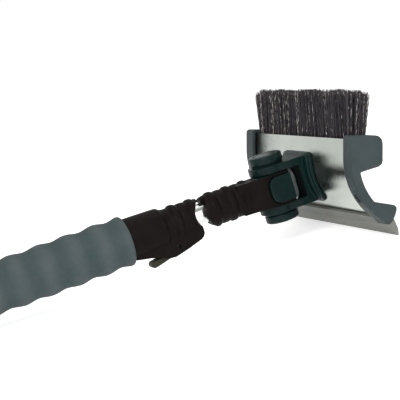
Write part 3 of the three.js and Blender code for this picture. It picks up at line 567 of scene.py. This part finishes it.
FOAM = foam_surface()
SLEEVE = moulded_plastic("sleeve_plastic", (0.0034, 0.0022, 0.0018), (0.0066, 0.0046, 0.0040),
                         (0.012, 0.009, 0.008), (0.44, 0.56), 0.06)
CLEVIS = moulded_plastic("clevis_plastic", (0.0010, 0.0080, 0.0078), (0.0026, 0.0140, 0.0130),
                         (0.022, 0.040, 0.036), (0.26, 0.38), 0.12)
# Painted shade: a duller copy of the clevis plastic, nearly without gloss and with darker edges, for the
# wall of the round recess. It stands in for the shade inside the recess.
RECESS_SHADE = moulded_plastic("recess_shade_plastic", (0.0012, 0.0082, 0.0080), (0.0028, 0.0135, 0.0126),
                         (0.010, 0.022, 0.020), (0.64, 0.80), 0.03)
END_CAP = moulded_plastic("cap_plastic", (0.027, 0.036, 0.038), (0.037, 0.048, 0.050),
                          (0.060, 0.074, 0.076), (0.46, 0.60), 0.12)
BLADE = moulded_plastic("blade_plastic", (0.100, 0.106, 0.094), (0.135, 0.138, 0.124),
                        (0.20, 0.20, 0.18), (0.45, 0.60), 0.2)
HUB = moulded_plastic("hub_plastic", (0.095, 0.105, 0.110), (0.145, 0.155, 0.160),
                      (0.22, 0.23, 0.24), (0.38, 0.52), 0.2)
LEVER = moulded_plastic("lever_plastic", (0.018, 0.018, 0.011), (0.034, 0.033, 0.022),
                        (0.065, 0.062, 0.045), (0.42, 0.56), 0.15)
BLOCK = moulded_plastic("block_plastic", (0.004, 0.004, 0.004), (0.009, 0.009, 0.009),
                        (0.02, 0.02, 0.02), (0.5, 0.65), 0.12)
RUBBER = moulded_plastic("cap_rubber", (0.004, 0.004, 0.005), (0.009, 0.009, 0.010),
                         (0.02, 0.02, 0.02), (0.7, 0.85), 0.12, 600, 0.08)
PLATE = rolled_metal()
TUBE = bright_tube()
STEEL = plated_steel()
BLACK_STEEL = blackened_steel()
BRISTLE = bristle_fibre()

# ---- Handle --------------------------------------------------------------------------------------


def grip_profile():
    """Shallow waves with soft valleys. The rear end starts plain; the front ends on a crest."""
    edge = 2.4
    points = [(OUTER_RADIUS + GAP, GRIP_REAR)]
    points += [(x, y + GRIP_REAR + edge) for x, y in arc((GRIP_VALLEY - edge, 0), edge, -90, 0, 6)]
    steps = 14
    for step in range(steps // 2, GRIP_BUMPS * steps - 1):
        turn = step / steps
        rise = 0.5 + 0.5 * math.cos(2 * math.pi * turn)
        points.append((GRIP_VALLEY + (GRIP_CREST - GRIP_VALLEY) * rise ** 0.9,
                       GRIP_REAR + turn * GRIP_PITCH))
    points += [(x, y + GRIP_FRONT - edge) for x, y in arc((GRIP_CREST - 0.4 - edge, 0), edge, 0, 90, 6)]
    points.append((OUTER_RADIUS + GAP, GRIP_FRONT))
    return points


def build_grip():
    vertices, faces = lathe(grip_profile(), "x", 112)
    chance = random.Random(7)
    sways = [(chance.uniform(0, 6.3), chance.uniform(0, 6.3)) for _ in range(GRIP_BUMPS + 2)]
    uneven = []
    for x, y, z in vertices:
        radius = math.hypot(y, z)
        angle = math.atan2(z, y)
        place = (x - GRIP_REAR) / GRIP_PITCH
        first, second = sways[int(max(0, place))]
        ripple = 0.25 * (math.sin(2 * angle + first) - 1) * math.sin(math.pi * (place % 1)) ** 2
        ripple += 0.10 * (math.sin(3 * angle + second) - 1)
        scale = 1 + (ripple / radius if radius > GRIP_VALLEY - 1 else 0)
        uneven.append((x, y * scale, z * scale))
    obj = raw_object("grip_foam", (uneven, faces))
    # The crest attribute is about 0 in the valleys and 1 on the crests. It masks the painted highlight on
    # the foam's crests.
    spread = GRIP_CREST - GRIP_VALLEY
    crests = [(math.hypot(y, z) - GRIP_VALLEY) / spread for x, y, z in vertices]
    obj.data.attributes.new("crest", "FLOAT", "POINT").data.foreach_set("value", crests)
    smooth_shading(obj, 50)
    finish_piece(obj, FOAM, "handle", ["foam_grip"])


def ring_profile(rear, pitch, count, base, front_base, high, low):
    points = []
    for ring in range(count):
        level = base + (front_base - base) * ring / count
        height = high if ring % 2 == 0 else low
        x = rear + ring * pitch
        points += [(level, x), (level + 0.55 * height, x + 0.10 * pitch),
                   (level + height, x + 0.24 * pitch), (level + height, x + 0.64 * pitch),
                   (level + 0.55 * height, x + 0.80 * pitch), (level, x + 0.90 * pitch)]
    return points


def build_collar():
    rear = GRIP_FRONT + GAP
    front = COLLAR_FRONT
    shell = lathe([
        (0, rear), (19.4, rear), (19.4, -142), (18.8, -118), (18.6, -114.5), (17.6, -112.6),
        (16.6, -112), (16.3, -110.5),
        (15.6, -108.4), *ring_profile(COLLAR_RINGS_REAR, 8.6, 3, 15.6, 14.8, 1.5, 0.6),
        (14.9, front), (0, front),
    ])
    housing = prism([
        (rear, -12), (rear, -18.2), (-134, -20.8), (-126, -23.2), (-118, -26.8), (-111, -27.4),
        (-98.6, -24.6), (-91, -22.4), (-83.3, -20.2), (-80.6, -18.2), (-79.2, -15.6), (-79.1, -9),
        (-84, -4),
    ], -12, 12)
    pin_hole = placed(rod(LEVER_PIN_HOLE, -20, 20, "y"), LEVER_PIN[0], 0, LEVER_PIN[1])
    cuts = [
        rod(OUTER_RADIUS + GAP, rear - 1, -107),
        rod(12.8, -107.1, -93),
        rod(TUBE_RADIUS + 0.6, -93.1, front + 1),
        placed(rod(13.2, -30, 30, "y", 128), -70.9, 0, 0.9),
        block((-79.1, -70), (-30, 30), (-30, -9)),
        block((-137, -78), (-5.7, 5.7), (-40, -13.5)),
        block((LOCK_X - 3.2, LOCK_X + 5), (-3.4, 3.4), (-14, -8)),
        pin_hole,
        placed(rod(COLLAR_SCREW_HOLE, 0, 30, "y"), COLLAR_SCREW[0], 0, COLLAR_SCREW[1]),
        placed(rod(COLLAR_SCREW_SEAT, 16.5, 22, "y"), COLLAR_SCREW[0], 0, COLLAR_SCREW[1]),
    ]
    obj = moulded("collar_shell", [shell, housing], cuts)
    finish_piece(obj, SLEEVE, "handle", ["lock_collar"])


def cross_recess(x, y, z, size, depth_axis_low, depth_axis_high):
    """Two crossed slots, cut along Y."""
    arm = size * 0.16
    span = size * 0.62
    y_range = (y + depth_axis_low, y + depth_axis_high)
    return [block((x - span, x + span), y_range, (z - arm, z + arm)),
            block((x - arm, x + arm), y_range, (z - span, z + span))]


def build_collar_screw():
    x, z = COLLAR_SCREW
    shaft = COLLAR_SCREW_SHAFT
    profile = [(0, 10.2), (shaft, 10.2), (shaft, 17), (COLLAR_SCREW_HEAD, 17), (2.5, 17.9), (1.7, 18.3),
               (0, 18.4)]
    head = placed(lathe(profile, "y", 40), x, 0, z)
    obj = machined("collar_screw_head", [head], cross_recess(x, 0, z, COLLAR_SCREW_HEAD, 17.5, 19), edge=0)
    finish_piece(obj, STEEL, "handle", ["collar_screw"])


def build_butt_cap():
    flange_front = GRIP_REAR - GAP
    flange_rear = flange_front - 6
    lug_rear = flange_rear - 22
    spigot = OUTER_RADIUS - 1.5
    body = lathe([
        (0, flange_rear), (17.5, flange_rear), (20, flange_rear + 1.2), (21, flange_rear + 3),
        (21, flange_front), (spigot, flange_front), (spigot, flange_front + 16),
        (0, flange_front + 16),
    ])
    lug = prism(rounded_rectangle((lug_rear, flange_rear + 3), (-13, 13), 5.5), -6.8, 6.8)
    hang_hole = placed(rod(6, -10, 10, "y", 96), flange_rear - 10, 0, 0)
    bands = [lathe([(20.5, x), (22, x), (22, x + 0.7), (20.5, x + 0.7)])
             for x in (flange_rear + 3.4, flange_rear + 4.8)]
    obj = moulded("butt_plug", [body, lug], [hang_hole, *bands], voxel=0.45)
    finish_piece(obj, RUBBER, "handle", ["butt_cap"])


def build_lever():
    side = [
        (-82.4, -15.2), (-82.6, -17.2), (-84.4, -19.2), (-91, -21.6), (-98.6, -24), (-106, -25.9),
        (-113, -27.8), (-120, -29.5), (-127, -31.2), (-131.4, -31.8), (-133.6, -30.2),
        (-133.8, -27.8), (-132.2, -25.8), (-127.5, -25), (-117.5, -25.1), (-111.5, -22.9),
        (-109, -17.2), (-106, -15.4), (-98, -15.2),
    ]
    ridges = [placed(rod(0.7, -4, 4, "y", 16), x, 0, z)
              for x, z in ((-118, -29.3), (-121, -30), (-124, -30.8), (-127, -31.5))]
    cuts = [
        placed(rod(LEVER_PIN_HOLE, -10, 10, "y"), LEVER_PIN[0], 0, LEVER_PIN[1]),
        placed(rod(2.6, -40, 0, "z"), LOCK_X, 0, 0),
        placed(rod(3.9, -40, -17.4, "z"), LOCK_X, 0, 0),
        *ridges,
    ]
    obj = moulded("lever_arm", [prism(side, -5, 5)], cuts, voxel=0.3, rounds=4)
    finish_piece(obj, LEVER, "lever", ["lock_lever"])


# ---- Sliding tube, sleeve and hub ----------------------------------------------------------------


def build_sliding_tube():
    inner = TUBE_RADIUS - TUBE_WALL
    tube = lathe([(inner, TUBE_REAR), (TUBE_RADIUS, TUBE_REAR), (TUBE_RADIUS, TUBE_FRONT),
                  (inner, TUBE_FRONT)], "x", 128)
    pitch = TRAVEL / (LOCK_HOLES - 1)
    holes = [placed(rod(LOCK_HOLE, -15, 0, "z", 48), LOCK_X - number * pitch, 0, 0)
             for number in range(LOCK_HOLES)]
    pin_hole = placed(rod(SLEEVE_PIN_HOLE, -30, SLEEVE_PIN_HOLE_TOP, "z", 32), SLEEVE_PIN_X, 0, 0)
    obj = machined("sliding_tube", [tube], [*holes, pin_hole], edge=0.15)
    finish_piece(obj, TUBE, "slider", ["inner_tube"])


def button_outline(margin):
    rear = -11.2 - margin
    half = 11.9 + margin
    radius = 8 + margin
    front = CHEEK_FRONT - GAP + margin
    return ([(front, -half), (front, half)]
            + arc((rear + radius, half - radius), radius, 90, 180, 16)
            + arc((rear + radius, radius - half), radius, 180, 270, 16))


def far_side_fall():
    """Cuts that let the far side of the sleeve and hub fall away behind the ears."""
    section = [(3, 14.6), (24, 10.2), (24, 20), (3, 20)]
    return [prism([(y, side * z) for y, z in section], -45, -9, "x") for side in (-1, 1)]


def sleeve_mouth():
    """Cuts at the sleeve's open end: slanted below, upright near, with a beak at the far top."""
    return [
        prism([(-80, -25), (-61, -25), (-62.5, -16.4), (-68.6, -12), (-73.1, -3.5), (-80, -3.5)],
              -30, 30),
        prism([(-80, -3.6), (-73.1, -3.6), (-72.4, 5.5), (-68.8, 13), (-66.5, 25), (-80, 25)],
              -30, -5),
        block((-80, -66), (4, 30), (-30, 9.9)),
    ]


def build_sleeve():
    rings = lathe([
        (0, SLEEVE_REAR), (13.2, SLEEVE_REAR), (13.9, SLEEVE_REAR + 0.4), (14.6, SLEEVE_REAR + 2),
        (15.1, SLEEVE_REAR + 4.5), *ring_profile(SLEEVE_RINGS_REAR, 8.4, 5, 15.2, 14.5, 1.4, 0.5),
        (14.5, -23), (14.5, -20), (0, -20),
    ])
    half = CHEEK_HALF_WIDTH
    cheeks = prism([
        (-38, -13), (-30, -14.8), (-24, -17.6), (-19, -19.8), (-14, -half), (CHEEK_FRONT, -half),
        (CHEEK_FRONT, half), (-10, half), (-17, 19.6), (-22, 18.2), (-30, 14.8), (-38, 13),
    ], -CHEEK_HALF_HEIGHT, CHEEK_HALF_HEIGHT, "z")
    hub_half = HUB_HALF_WIDTH + GAP
    cuts = [
        rod(TUBE_RADIUS + GAP, SLEEVE_REAR - 1, TUBE_FRONT + GAP),
        block((TUBE_FRONT + 0.29, 20), (-hub_half, hub_half), (-30, 30)),
        *sleeve_mouth(),
        prism(button_outline(0.35), -30, -10),
        placed(rod(SLEEVE_PIN_HOLE, -30, SLEEVE_PIN_HOLE_TOP, "z"), SLEEVE_PIN_X, 0, 0),
        *far_side_fall(),
    ]
    obj = moulded("sleeve_shell", [rings, cheeks], cuts, voxel=0.3)
    finish_piece(obj, SLEEVE, "slider", ["front_sleeve"])


def build_hub():
    drum = lathe([(0, -HUB_HALF_HEIGHT), (20.6, -HUB_HALF_HEIGHT), (HUB_RADIUS, -10), (HUB_RADIUS, 7),
                  (19.8, HUB_HALF_HEIGHT), (0, HUB_HALF_HEIGHT)], "z", 128)
    nose = raw_object("nose", drum)
    combine(nose, [block((CHEEK_FRONT, HUB_RADIUS + 5), (-20.2, 20.2), (-20, 20))], "INTERSECT")
    nose_shape = ([tuple(vertex.co / MM) for vertex in nose.data.vertices],
                  [list(polygon.vertices) for polygon in nose.data.polygons])
    bpy.data.objects.remove(nose)
    core = block((TUBE_FRONT + 0.6, CHEEK_FRONT + 0.2), (-HUB_HALF_WIDTH, HUB_HALF_WIDTH),
                 (-HUB_HALF_HEIGHT, HUB_HALF_HEIGHT))
    spigot = rod(TUBE_RADIUS - TUBE_WALL - GAP, -50, TUBE_FRONT + 2)
    reach = CHEEK_FRONT + 0.4
    cuts = [
        block((0, reach), (HUB_HALF_WIDTH, 30), (-20, 20)),
        block((0, reach), (-30, -HUB_HALF_WIDTH), (-20, 20)),
        rod(PIVOT_HOLE, -30, 30, "z"),
        block((-13.8, 13.8), (-20, 30), (-20, -11.4)),
        block((-12, CHEEK_FRONT + 0.3), (-30, -13.9), (-12.6, 12.6)),
        placed(rod(3.6, -20, -7.5, "y"), 0, 0, 4),
        placed(rod(SLEEVE_PIN_HOLE, -30, SLEEVE_PIN_HOLE_TOP, "z"), SLEEVE_PIN_X, 0, 0),
        *far_side_fall(),
    ]
    obj = moulded("hub_drum", [core, nose_shape, spigot], cuts)
    finish_piece(obj, HUB, "slider", ["pivot_hub"])
    obj.data.materials.append(CLEVIS)
    to_handle = HANDLE.inverted() @ obj.matrix_world
    for polygon in obj.data.polygons:
        place = (to_handle @ polygon.center) / MM
        on_strip = CHEEK_FRONT + 0.5 < place.x < NOSE_STRIP_FRONT and abs(place.y) > 12
        polygon.material_index = 0 if on_strip else 1


def build_button():
    obj = moulded("button_face", [prism(button_outline(0), -23.6, -17.8)], voxel=0.28, rounds=14)
    finish_piece(obj, CLEVIS, "button", ["release_button"])


# ---- Swivel clevis -------------------------------------------------------------------------------


def build_clevis():
    half = BLOCK_HALF_WIDTH
    ear_arc = arc((0, 0), EAR_RADIUS, 80, 280, 48)
    ears = prism([(30, -half), (30, half), (16, half), *ear_arc, (16, -half)],
                 -EAR_OUTER, EAR_OUTER, "z")
    body = block((24, 48), (-half, half), (-EAR_OUTER, EAR_OUTER))
    flange = prism(rounded_rectangle((-FLANGE_HALF_WIDTH, FLANGE_HALF_WIDTH), (-23.5, 24.3), 9),
                   10, 60, "x")
    step = prism(rounded_rectangle((4 - FLANGE_HALF_WIDTH, FLANGE_HALF_WIDTH - 4), (-22.5, 23.3), 8),
                 10, 60, "x")
    shells = []
    for face, top in ((flange, FLANGE_THICKNESS - 1.3), (step, FLANGE_THICKNESS)):
        piece = raw_object("shell", face)
        shell = turned(prism(sector(PLATE_RADIUS + top, PLATE_RADIUS - 4, -20, 70, 60), -60, 60),
                       HEAD_LEAN)
        combine(piece, [shell], "INTERSECT")
        shells.append(([tuple(vertex.co / MM) for vertex in piece.data.vertices],
                       [list(polygon.vertices) for polygon in piece.data.polygons]))
        bpy.data.objects.remove(piece)
    reach = RECESS_RADIUS
    recess = placed(lathe([(0, -EAR_INNER), (reach - 1, -EAR_INNER), (reach, 1 - EAR_INNER),
                           (reach, EAR_INNER - 1), (reach - 1, EAR_INNER), (0, EAR_INNER)],
                          "z", 160), RECESS_CENTRE_X, 0, 0)
    plate_side = turned(prism(sector(PLATE_RADIUS + GAP, 1, -40, 110, 80), -60, 60), HEAD_LEAN)
    cuts = [recess, plate_side, rod(PIVOT_HOLE, -40, 40, "z")]
    obj = moulded("clevis_casting", [ears, body, *shells], cuts, voxel=0.42, rounds=6)
    finish_piece(obj, CLEVIS, "head", ["pivot_clevis"])
    obj.data.materials.append(RECESS_SHADE)
    # Faces on the recess wall take the painted-shade copy of the clevis plastic.
    to_handle = HANDLE.inverted() @ obj.matrix_world
    for polygon in obj.data.polygons:
        place = (to_handle @ polygon.center) / MM
        from_axis = math.hypot(place.x - RECESS_CENTRE_X, place.y)
        in_recess = abs(from_axis - reach) < 0.8 and abs(place.z) < EAR_INNER
        polygon.material_index = 1 if in_recess else 0


def build_pivot_cap(name, side, node):
    low = EAR_OUTER + GAP
    top = PIVOT_CAP_TOP
    radius = PIVOT_CAP_RADIUS
    profile = [
        (12.4, low), (radius - 1, low), (radius - 1, low + 1.5), (radius - 0.6, low + 2),
        (radius - 0.2, low + 2.2), (radius, low + 2.8), (radius, top - 1.6), (radius - 0.4, top - 0.7),
        (radius - 1.4, top), (11.6, top), (11.1, top - 0.5), (10.1, top - 0.5), (9.6, top),
        (9, top + 0.05), (0.1, top + 0.12), (0.1, top - 1.6), (12.4, top - 1.6),
    ]
    vertices, faces = lathe(profile, "z", 96)
    obj = raw_object(name, ([(x, y, side * z) for x, y, z in vertices], faces))
    smooth_shading(obj, 40)
    finish_piece(obj, CLEVIS, "head", [node])


# ---- Head ----------------------------------------------------------------------------------------

CAP_INNER = HEAD_LENGTH / 2 - CAP_THICKNESS
PLATE_HALF = HEAD_LENGTH / 2 - 4.5
CAP_SCREW_Y = HEAD_LENGTH / 2 - 9


def plate_outline(margin):
    outer = PLATE_RADIUS + margin
    inner = PLATE_RADIUS - PLATE_THICKNESS - margin
    end = PLATE_END + margin
    centre = ARC_CENTRE[0]
    return ([(centre - inner, PLATE_TOP + margin), (centre - outer, PLATE_TOP + margin)]
            + head_arc(outer, 0, end, 64) + head_arc(inner, end, 0, 64))


def build_plate():
    obj = machined("bright_plate", [prism(plate_outline(0), -PLATE_HALF, PLATE_HALF)], matrix=HEAD,
                   edge=0.25)
    finish_piece(obj, PLATE, "head", ["head_plate"])


def cap_outline():
    rim_front = ARC_CENTRE[0] - RIM_RADIUS
    return [
        on_arc(BAND_RADIUS, 12.2), (47, 23.2),
        *arc((46, 28), 4.4, -75, 0, 8),
        *arc((43.4, 43), 7, 0, 90, 14),
        *arc((rim_front + 3, 47), 3, 90, 180, 8),
        *head_arc(RIM_RADIUS, 0, 59.5, 48),
        (54.2, -26.1), (57, -26.3), (60.8, -22.4), (62.8, -17.8),
        *arc((60, -13.6), 3.8, -20, 80, 10),
        *head_arc(BAND_RADIUS, 42.5, 12.2, 28),
    ]


def build_end_cap(name, side, node):
    outer = HEAD_LENGTH / 2
    low, high = (CAP_INNER, outer) if side > 0 else (-outer, -CAP_INNER)
    screw_y = side * CAP_SCREW_Y
    groove_y = side * (outer - 2.6)
    boss = radial_rod(6.2, RIM_RADIUS - 4, RIM_RADIUS + 0.6, CAP_SCREW_ANGLE, screw_y)
    cuts = [
        prism(plate_outline(GAP), -PLATE_HALF - GAP, PLATE_HALF + GAP),
        radial_rod(CAP_SCREW_HOLE, BAND_RADIUS + 1, RIM_RADIUS + 3, CAP_SCREW_ANGLE, screw_y),
        radial_rod(CAP_SCREW_SEAT, RIM_RADIUS - 1.9, RIM_RADIUS + 3, CAP_SCREW_ANGLE, screw_y),
        prism(sector(RIM_RADIUS + 1, RIM_RADIUS - 1.2, 15, 60), groove_y - 0.6, groove_y + 0.6),
    ]
    obj = moulded(name, [prism(cap_outline(), low, high), boss], cuts, matrix=HEAD, voxel=0.45,
                  rounds=7)
    finish_piece(obj, END_CAP, "head", [node])


def build_cap_screw(name, side, node):
    y = side * CAP_SCREW_Y
    u, v = on_arc(RIM_RADIUS - 1.6, CAP_SCREW_ANGLE)
    turn = 180 - CAP_SCREW_ANGLE
    head = lathe([(0, -6), (CAP_SCREW_SHAFT, -6), (CAP_SCREW_SHAFT, 0), (CAP_SCREW_HEAD, 0),
                  (3.5, 0.7), (2.4, 1.25), (0, 1.3)], "x", 48)
    slots = [block((0.5, 2), (-2.3, 2.3), (-0.45, 0.45)), block((0.5, 2), (-0.45, 0.45), (-2.3, 2.3))]
    shapes = [placed(turned(shape, turn), u, y, v) for shape in (head, *slots)]
    obj = machined(name, [shapes[0]], shapes[1:], matrix=HEAD, edge=0)
    finish_piece(obj, BLACK_STEEL, "head", [node])


def build_blade():
    half = HEAD_LENGTH / 2
    section = [(48.9, -21.3), (65.6, -36.3), (64.8, -30), (61.3, -22.5), (57.5, -16.6),
               (52.6, -11.4), (49.8, -13.6), (51.4, -19.2)]
    grown = cap_outline()
    cuts = [prism(plate_outline(GAP), -200, 200)]
    for side in (-1, 1):
        ends = sorted((side * (CAP_INNER - GAP), side * (half + 5)))
        for drop in (GAP, 0):
            cuts.append(prism([(u, v - drop) for u, v in grown], *ends))
    obj = machined("scraper_strip", [prism(section, -half, half)], cuts, matrix=HEAD, edge=0.3)
    finish_piece(obj, BLADE, "head", ["scraper_blade"])


def build_brush_block():
    front = ARC_CENTRE[0] - PLATE_RADIUS + PLATE_THICKNESS + GAP
    half = CAP_INNER - GAP
    section = [(front + 0.6, 23.4), (42.5, 24.6), (46.5, 28), (47, 41.5), (44, 45.4),
               (front, 45.4), (front, 32)]
    obj = machined("bristle_holder", [prism(section, -half, half)], matrix=HEAD, edge=0.6)
    finish_piece(obj, BLOCK, "head", ["brush_block"])


TUFT_COLUMNS = 54
TUFT_ROWS = 4
TUFT_STRANDS = 30
STRAND_RADIUS = 0.27
STRAND_STEPS = 8


def strand_path(chance, u, y, lean_u, lean_y, tip, wave):
    """Points of one strand from its root up to its tip, slightly crinkled."""
    root = 44
    phase = chance.uniform(0, 6.3)
    beat = chance.uniform(9, 14)
    points = []
    for step in range(STRAND_STEPS + 1):
        share = step / STRAND_STEPS
        rise = (tip - root) * share
        crinkle = wave * share ** 0.5
        points.append((
            u + lean_u * share + crinkle * math.sin(phase + 6.3 * rise / beat),
            y + lean_y * share + crinkle * math.cos(phase * 1.7 + 6.3 * rise / beat),
            root + rise,
        ))
    return points


def build_bristles():
    chance = random.Random(21)
    vertices = []
    faces = []
    tones = []
    half = CAP_INNER - 2
    for column in range(TUFT_COLUMNS):
        for row in range(TUFT_ROWS):
            along = column / (TUFT_COLUMNS - 1) * 2 - 1
            middle_y = along * half
            middle_u = 29.2 + row * 4.1 + (0.7 if column % 2 else -0.7)
            tuft_tip = BRISTLE_TIP - 1 + chance.uniform(-2.8, 1.1)
            for _ in range(TUFT_STRANDS):
                turn = chance.uniform(0, 6.3)
                reach = math.sqrt(chance.random())
                du = math.cos(turn) * reach
                dy = math.sin(turn) * reach
                splay = max(0, abs(along) - 0.9) * (45 if along > 0 else 20)
                lean_y = dy * 2.6 + math.copysign(splay, along) + chance.uniform(-0.6, 0.6)
                lean_u = du * 1.8 + (row - 1.5) * 0.9 + chance.uniform(-0.5, 0.5)
                path = strand_path(chance, middle_u + du * 1.5, middle_y + dy * 1.7, lean_u, lean_y,
                                   tuft_tip + chance.uniform(-3.2, 1.7), chance.uniform(0.1, 0.6))
                tone = chance.random()
                start = len(vertices)
                for number, (a, b, c) in enumerate(path):
                    radius = STRAND_RADIUS * (1 if number < STRAND_STEPS else 0.6)
                    for corner in range(4):
                        angle = math.pi * (0.25 + corner / 2)
                        vertices.append((a + radius * math.cos(angle), b + radius * math.sin(angle), c))
                        tones.append(tone)
                for number in range(STRAND_STEPS):
                    for corner in range(4):
                        after = (corner + 1) % 4
                        low = start + 4 * number
                        faces.append([low + corner, low + after, low + 4 + after, low + 4 + corner])
                top = start + 4 * STRAND_STEPS
                faces.append([top, top + 1, top + 2, top + 3])
                faces.append([start + 3, start + 2, start + 1, start])
    mesh = bpy.data.meshes.new("strands")
    mesh.from_pydata([tuple(c * MM for c in vertex) for vertex in vertices], [], faces)
    mesh.attributes.new("strand", "FLOAT", "POINT").data.foreach_set("value", tones)
    obj = bpy.data.objects.new("bristle_strands", mesh)
    bpy.context.scene.collection.objects.link(obj)
    obj.matrix_world = HEAD
    smooth_shading(obj)
    finish_piece(obj, BRISTLE, "head", ["bristles"])


# ---- CAD nodes that keep their own mesh -----------------------------------------------------------

KEPT_NODES = {
    "outer_tube": TUBE, "guide_bush": HUB, "tube_end_plug": RUBBER, "clamp_plate": STEEL,
    "lever_pin": BLACK_STEEL, "lever_spring": STEEL, "lock_stud": STEEL, "sleeve_pin": BLACK_STEEL,
    "button_spring": STEEL, "latch_frame": STEEL, "index_disc": STEEL, "pivot_bolt": STEEL,
    "pivot_nut": STEEL, "upper_washer": STEEL, "lower_washer": STEEL, "clevis_screw_1": STEEL,
    "clevis_screw_2": STEEL, "clevis_screw_3": STEEL, "clevis_screw_4": STEEL,
}


def dress_kept_nodes():
    for name, surface in KEPT_NODES.items():
        node = frame["nodes"][name]
        node.data.materials.clear()
        node.data.materials.append(surface)


# ---- Floor, light and camera ---------------------------------------------------------------------


def build_floor():
    mesh = bpy.data.meshes.new("floor")
    reach = 40
    mesh.from_pydata([(-reach, -reach, 0), (reach, -reach, 0), (reach, reach, 0), (-reach, reach, 0)],
                     [], [[0, 1, 2, 3]])
    floor = bpy.data.objects.new("floor", mesh)
    bpy.context.scene.collection.objects.link(floor)
    surface, tree, shader = new_surface("floor_paper")
    shade = noise(tree, object_space(tree), 3, 3)
    tree.links.new(colour_ramp(tree, shade, (0.86, 0.86, 0.86), (0.89, 0.89, 0.89)),
                   shader.inputs["Base Color"])
    shader.inputs["Roughness"].default_value = 0.9
    shader.inputs["Specular IOR Level"].default_value = 0
    shader.inputs["Emission Color"].default_value = (1, 1, 1, 1)
    shader.inputs["Emission Strength"].default_value = 0.52
    mesh.materials.append(surface)


def build_view():
    bpy.context.scene.view_settings.view_transform = "Standard"


def build_world(strength):
    """Even studio light, brightest near the horizon and dimmer overhead."""
    world = bpy.data.worlds.new("studio")
    world.use_nodes = True
    tree = world.node_tree
    direction = tree.nodes.new("ShaderNodeTexCoord")
    parts = tree.nodes.new("ShaderNodeSeparateXYZ")
    tree.links.new(direction.outputs["Generated"], parts.inputs["Vector"])
    sky = colour_ramp(tree, parts.outputs["Z"], (1, 1, 1), (0.36, 0.37, 0.36), 0.35, 0.75)
    tree.links.new(sky, tree.nodes["Background"].inputs["Color"])
    tree.nodes["Background"].inputs["Strength"].default_value = strength
    bpy.context.scene.world = world


def soft_light(name, place, target, size, power):
    """A square lamp at a place in handle millimetres, aimed at another."""
    lamp = bpy.data.lights.new(name, "AREA")
    lamp.size = size
    lamp.energy = power
    obj = bpy.data.objects.new(name, lamp)
    bpy.context.scene.collection.objects.link(obj)
    start = HANDLE @ (Vector(place) * MM)
    aim = HANDLE @ (Vector(target) * MM) - start
    obj.matrix_world = Matrix.Translation(start) @ aim.to_track_quat("-Z", "Y").to_matrix().to_4x4()


def build_camera():
    data = bpy.data.cameras.new("camera")
    data.sensor_width = 36
    data.lens = VIEW_LENS
    data.clip_end = 100
    camera = bpy.data.objects.new("camera", data)
    bpy.context.scene.collection.objects.link(camera)
    right = Vector(VIEW_RIGHT)
    up = Vector(VIEW_UP)
    back = right.cross(up)
    turn = Matrix((right, up, back)).transposed().to_4x4()
    place = Vector(VIEW_PLACE) * MM
    camera.matrix_world = HANDLE @ Matrix.Translation(place) @ turn
    bpy.context.scene.camera = camera


# ---- Everything ----------------------------------------------------------------------------------

build_grip()
build_collar()
build_collar_screw()
build_butt_cap()
build_lever()
build_sliding_tube()
build_sleeve()
build_hub()
build_button()
build_clevis()
build_pivot_cap("pivot_cap_top", 1, "upper_pivot_cap")
build_pivot_cap("pivot_cap_bottom", -1, "lower_pivot_cap")
build_plate()
build_end_cap("end_cap_right", -1, "right_end_cap")
build_end_cap("end_cap_left", 1, "left_end_cap")
build_cap_screw("rim_screw_right", -1, "right_cap_screw")
build_cap_screw("rim_screw_left", 1, "left_cap_screw")
build_blade()
build_brush_block()
build_bristles()
dress_kept_nodes()

build_floor()
build_view()
build_world(1.0)
soft_light("key", (-500, -900, 900), (0, 0, 0), 0.9, 12)
soft_light("fill", (700, -900, 300), (0, 0, 0), 0.8, 3)
soft_light("top", (100, 200, 1100), (0, 0, 0), 1.0, 4)
build_camera()
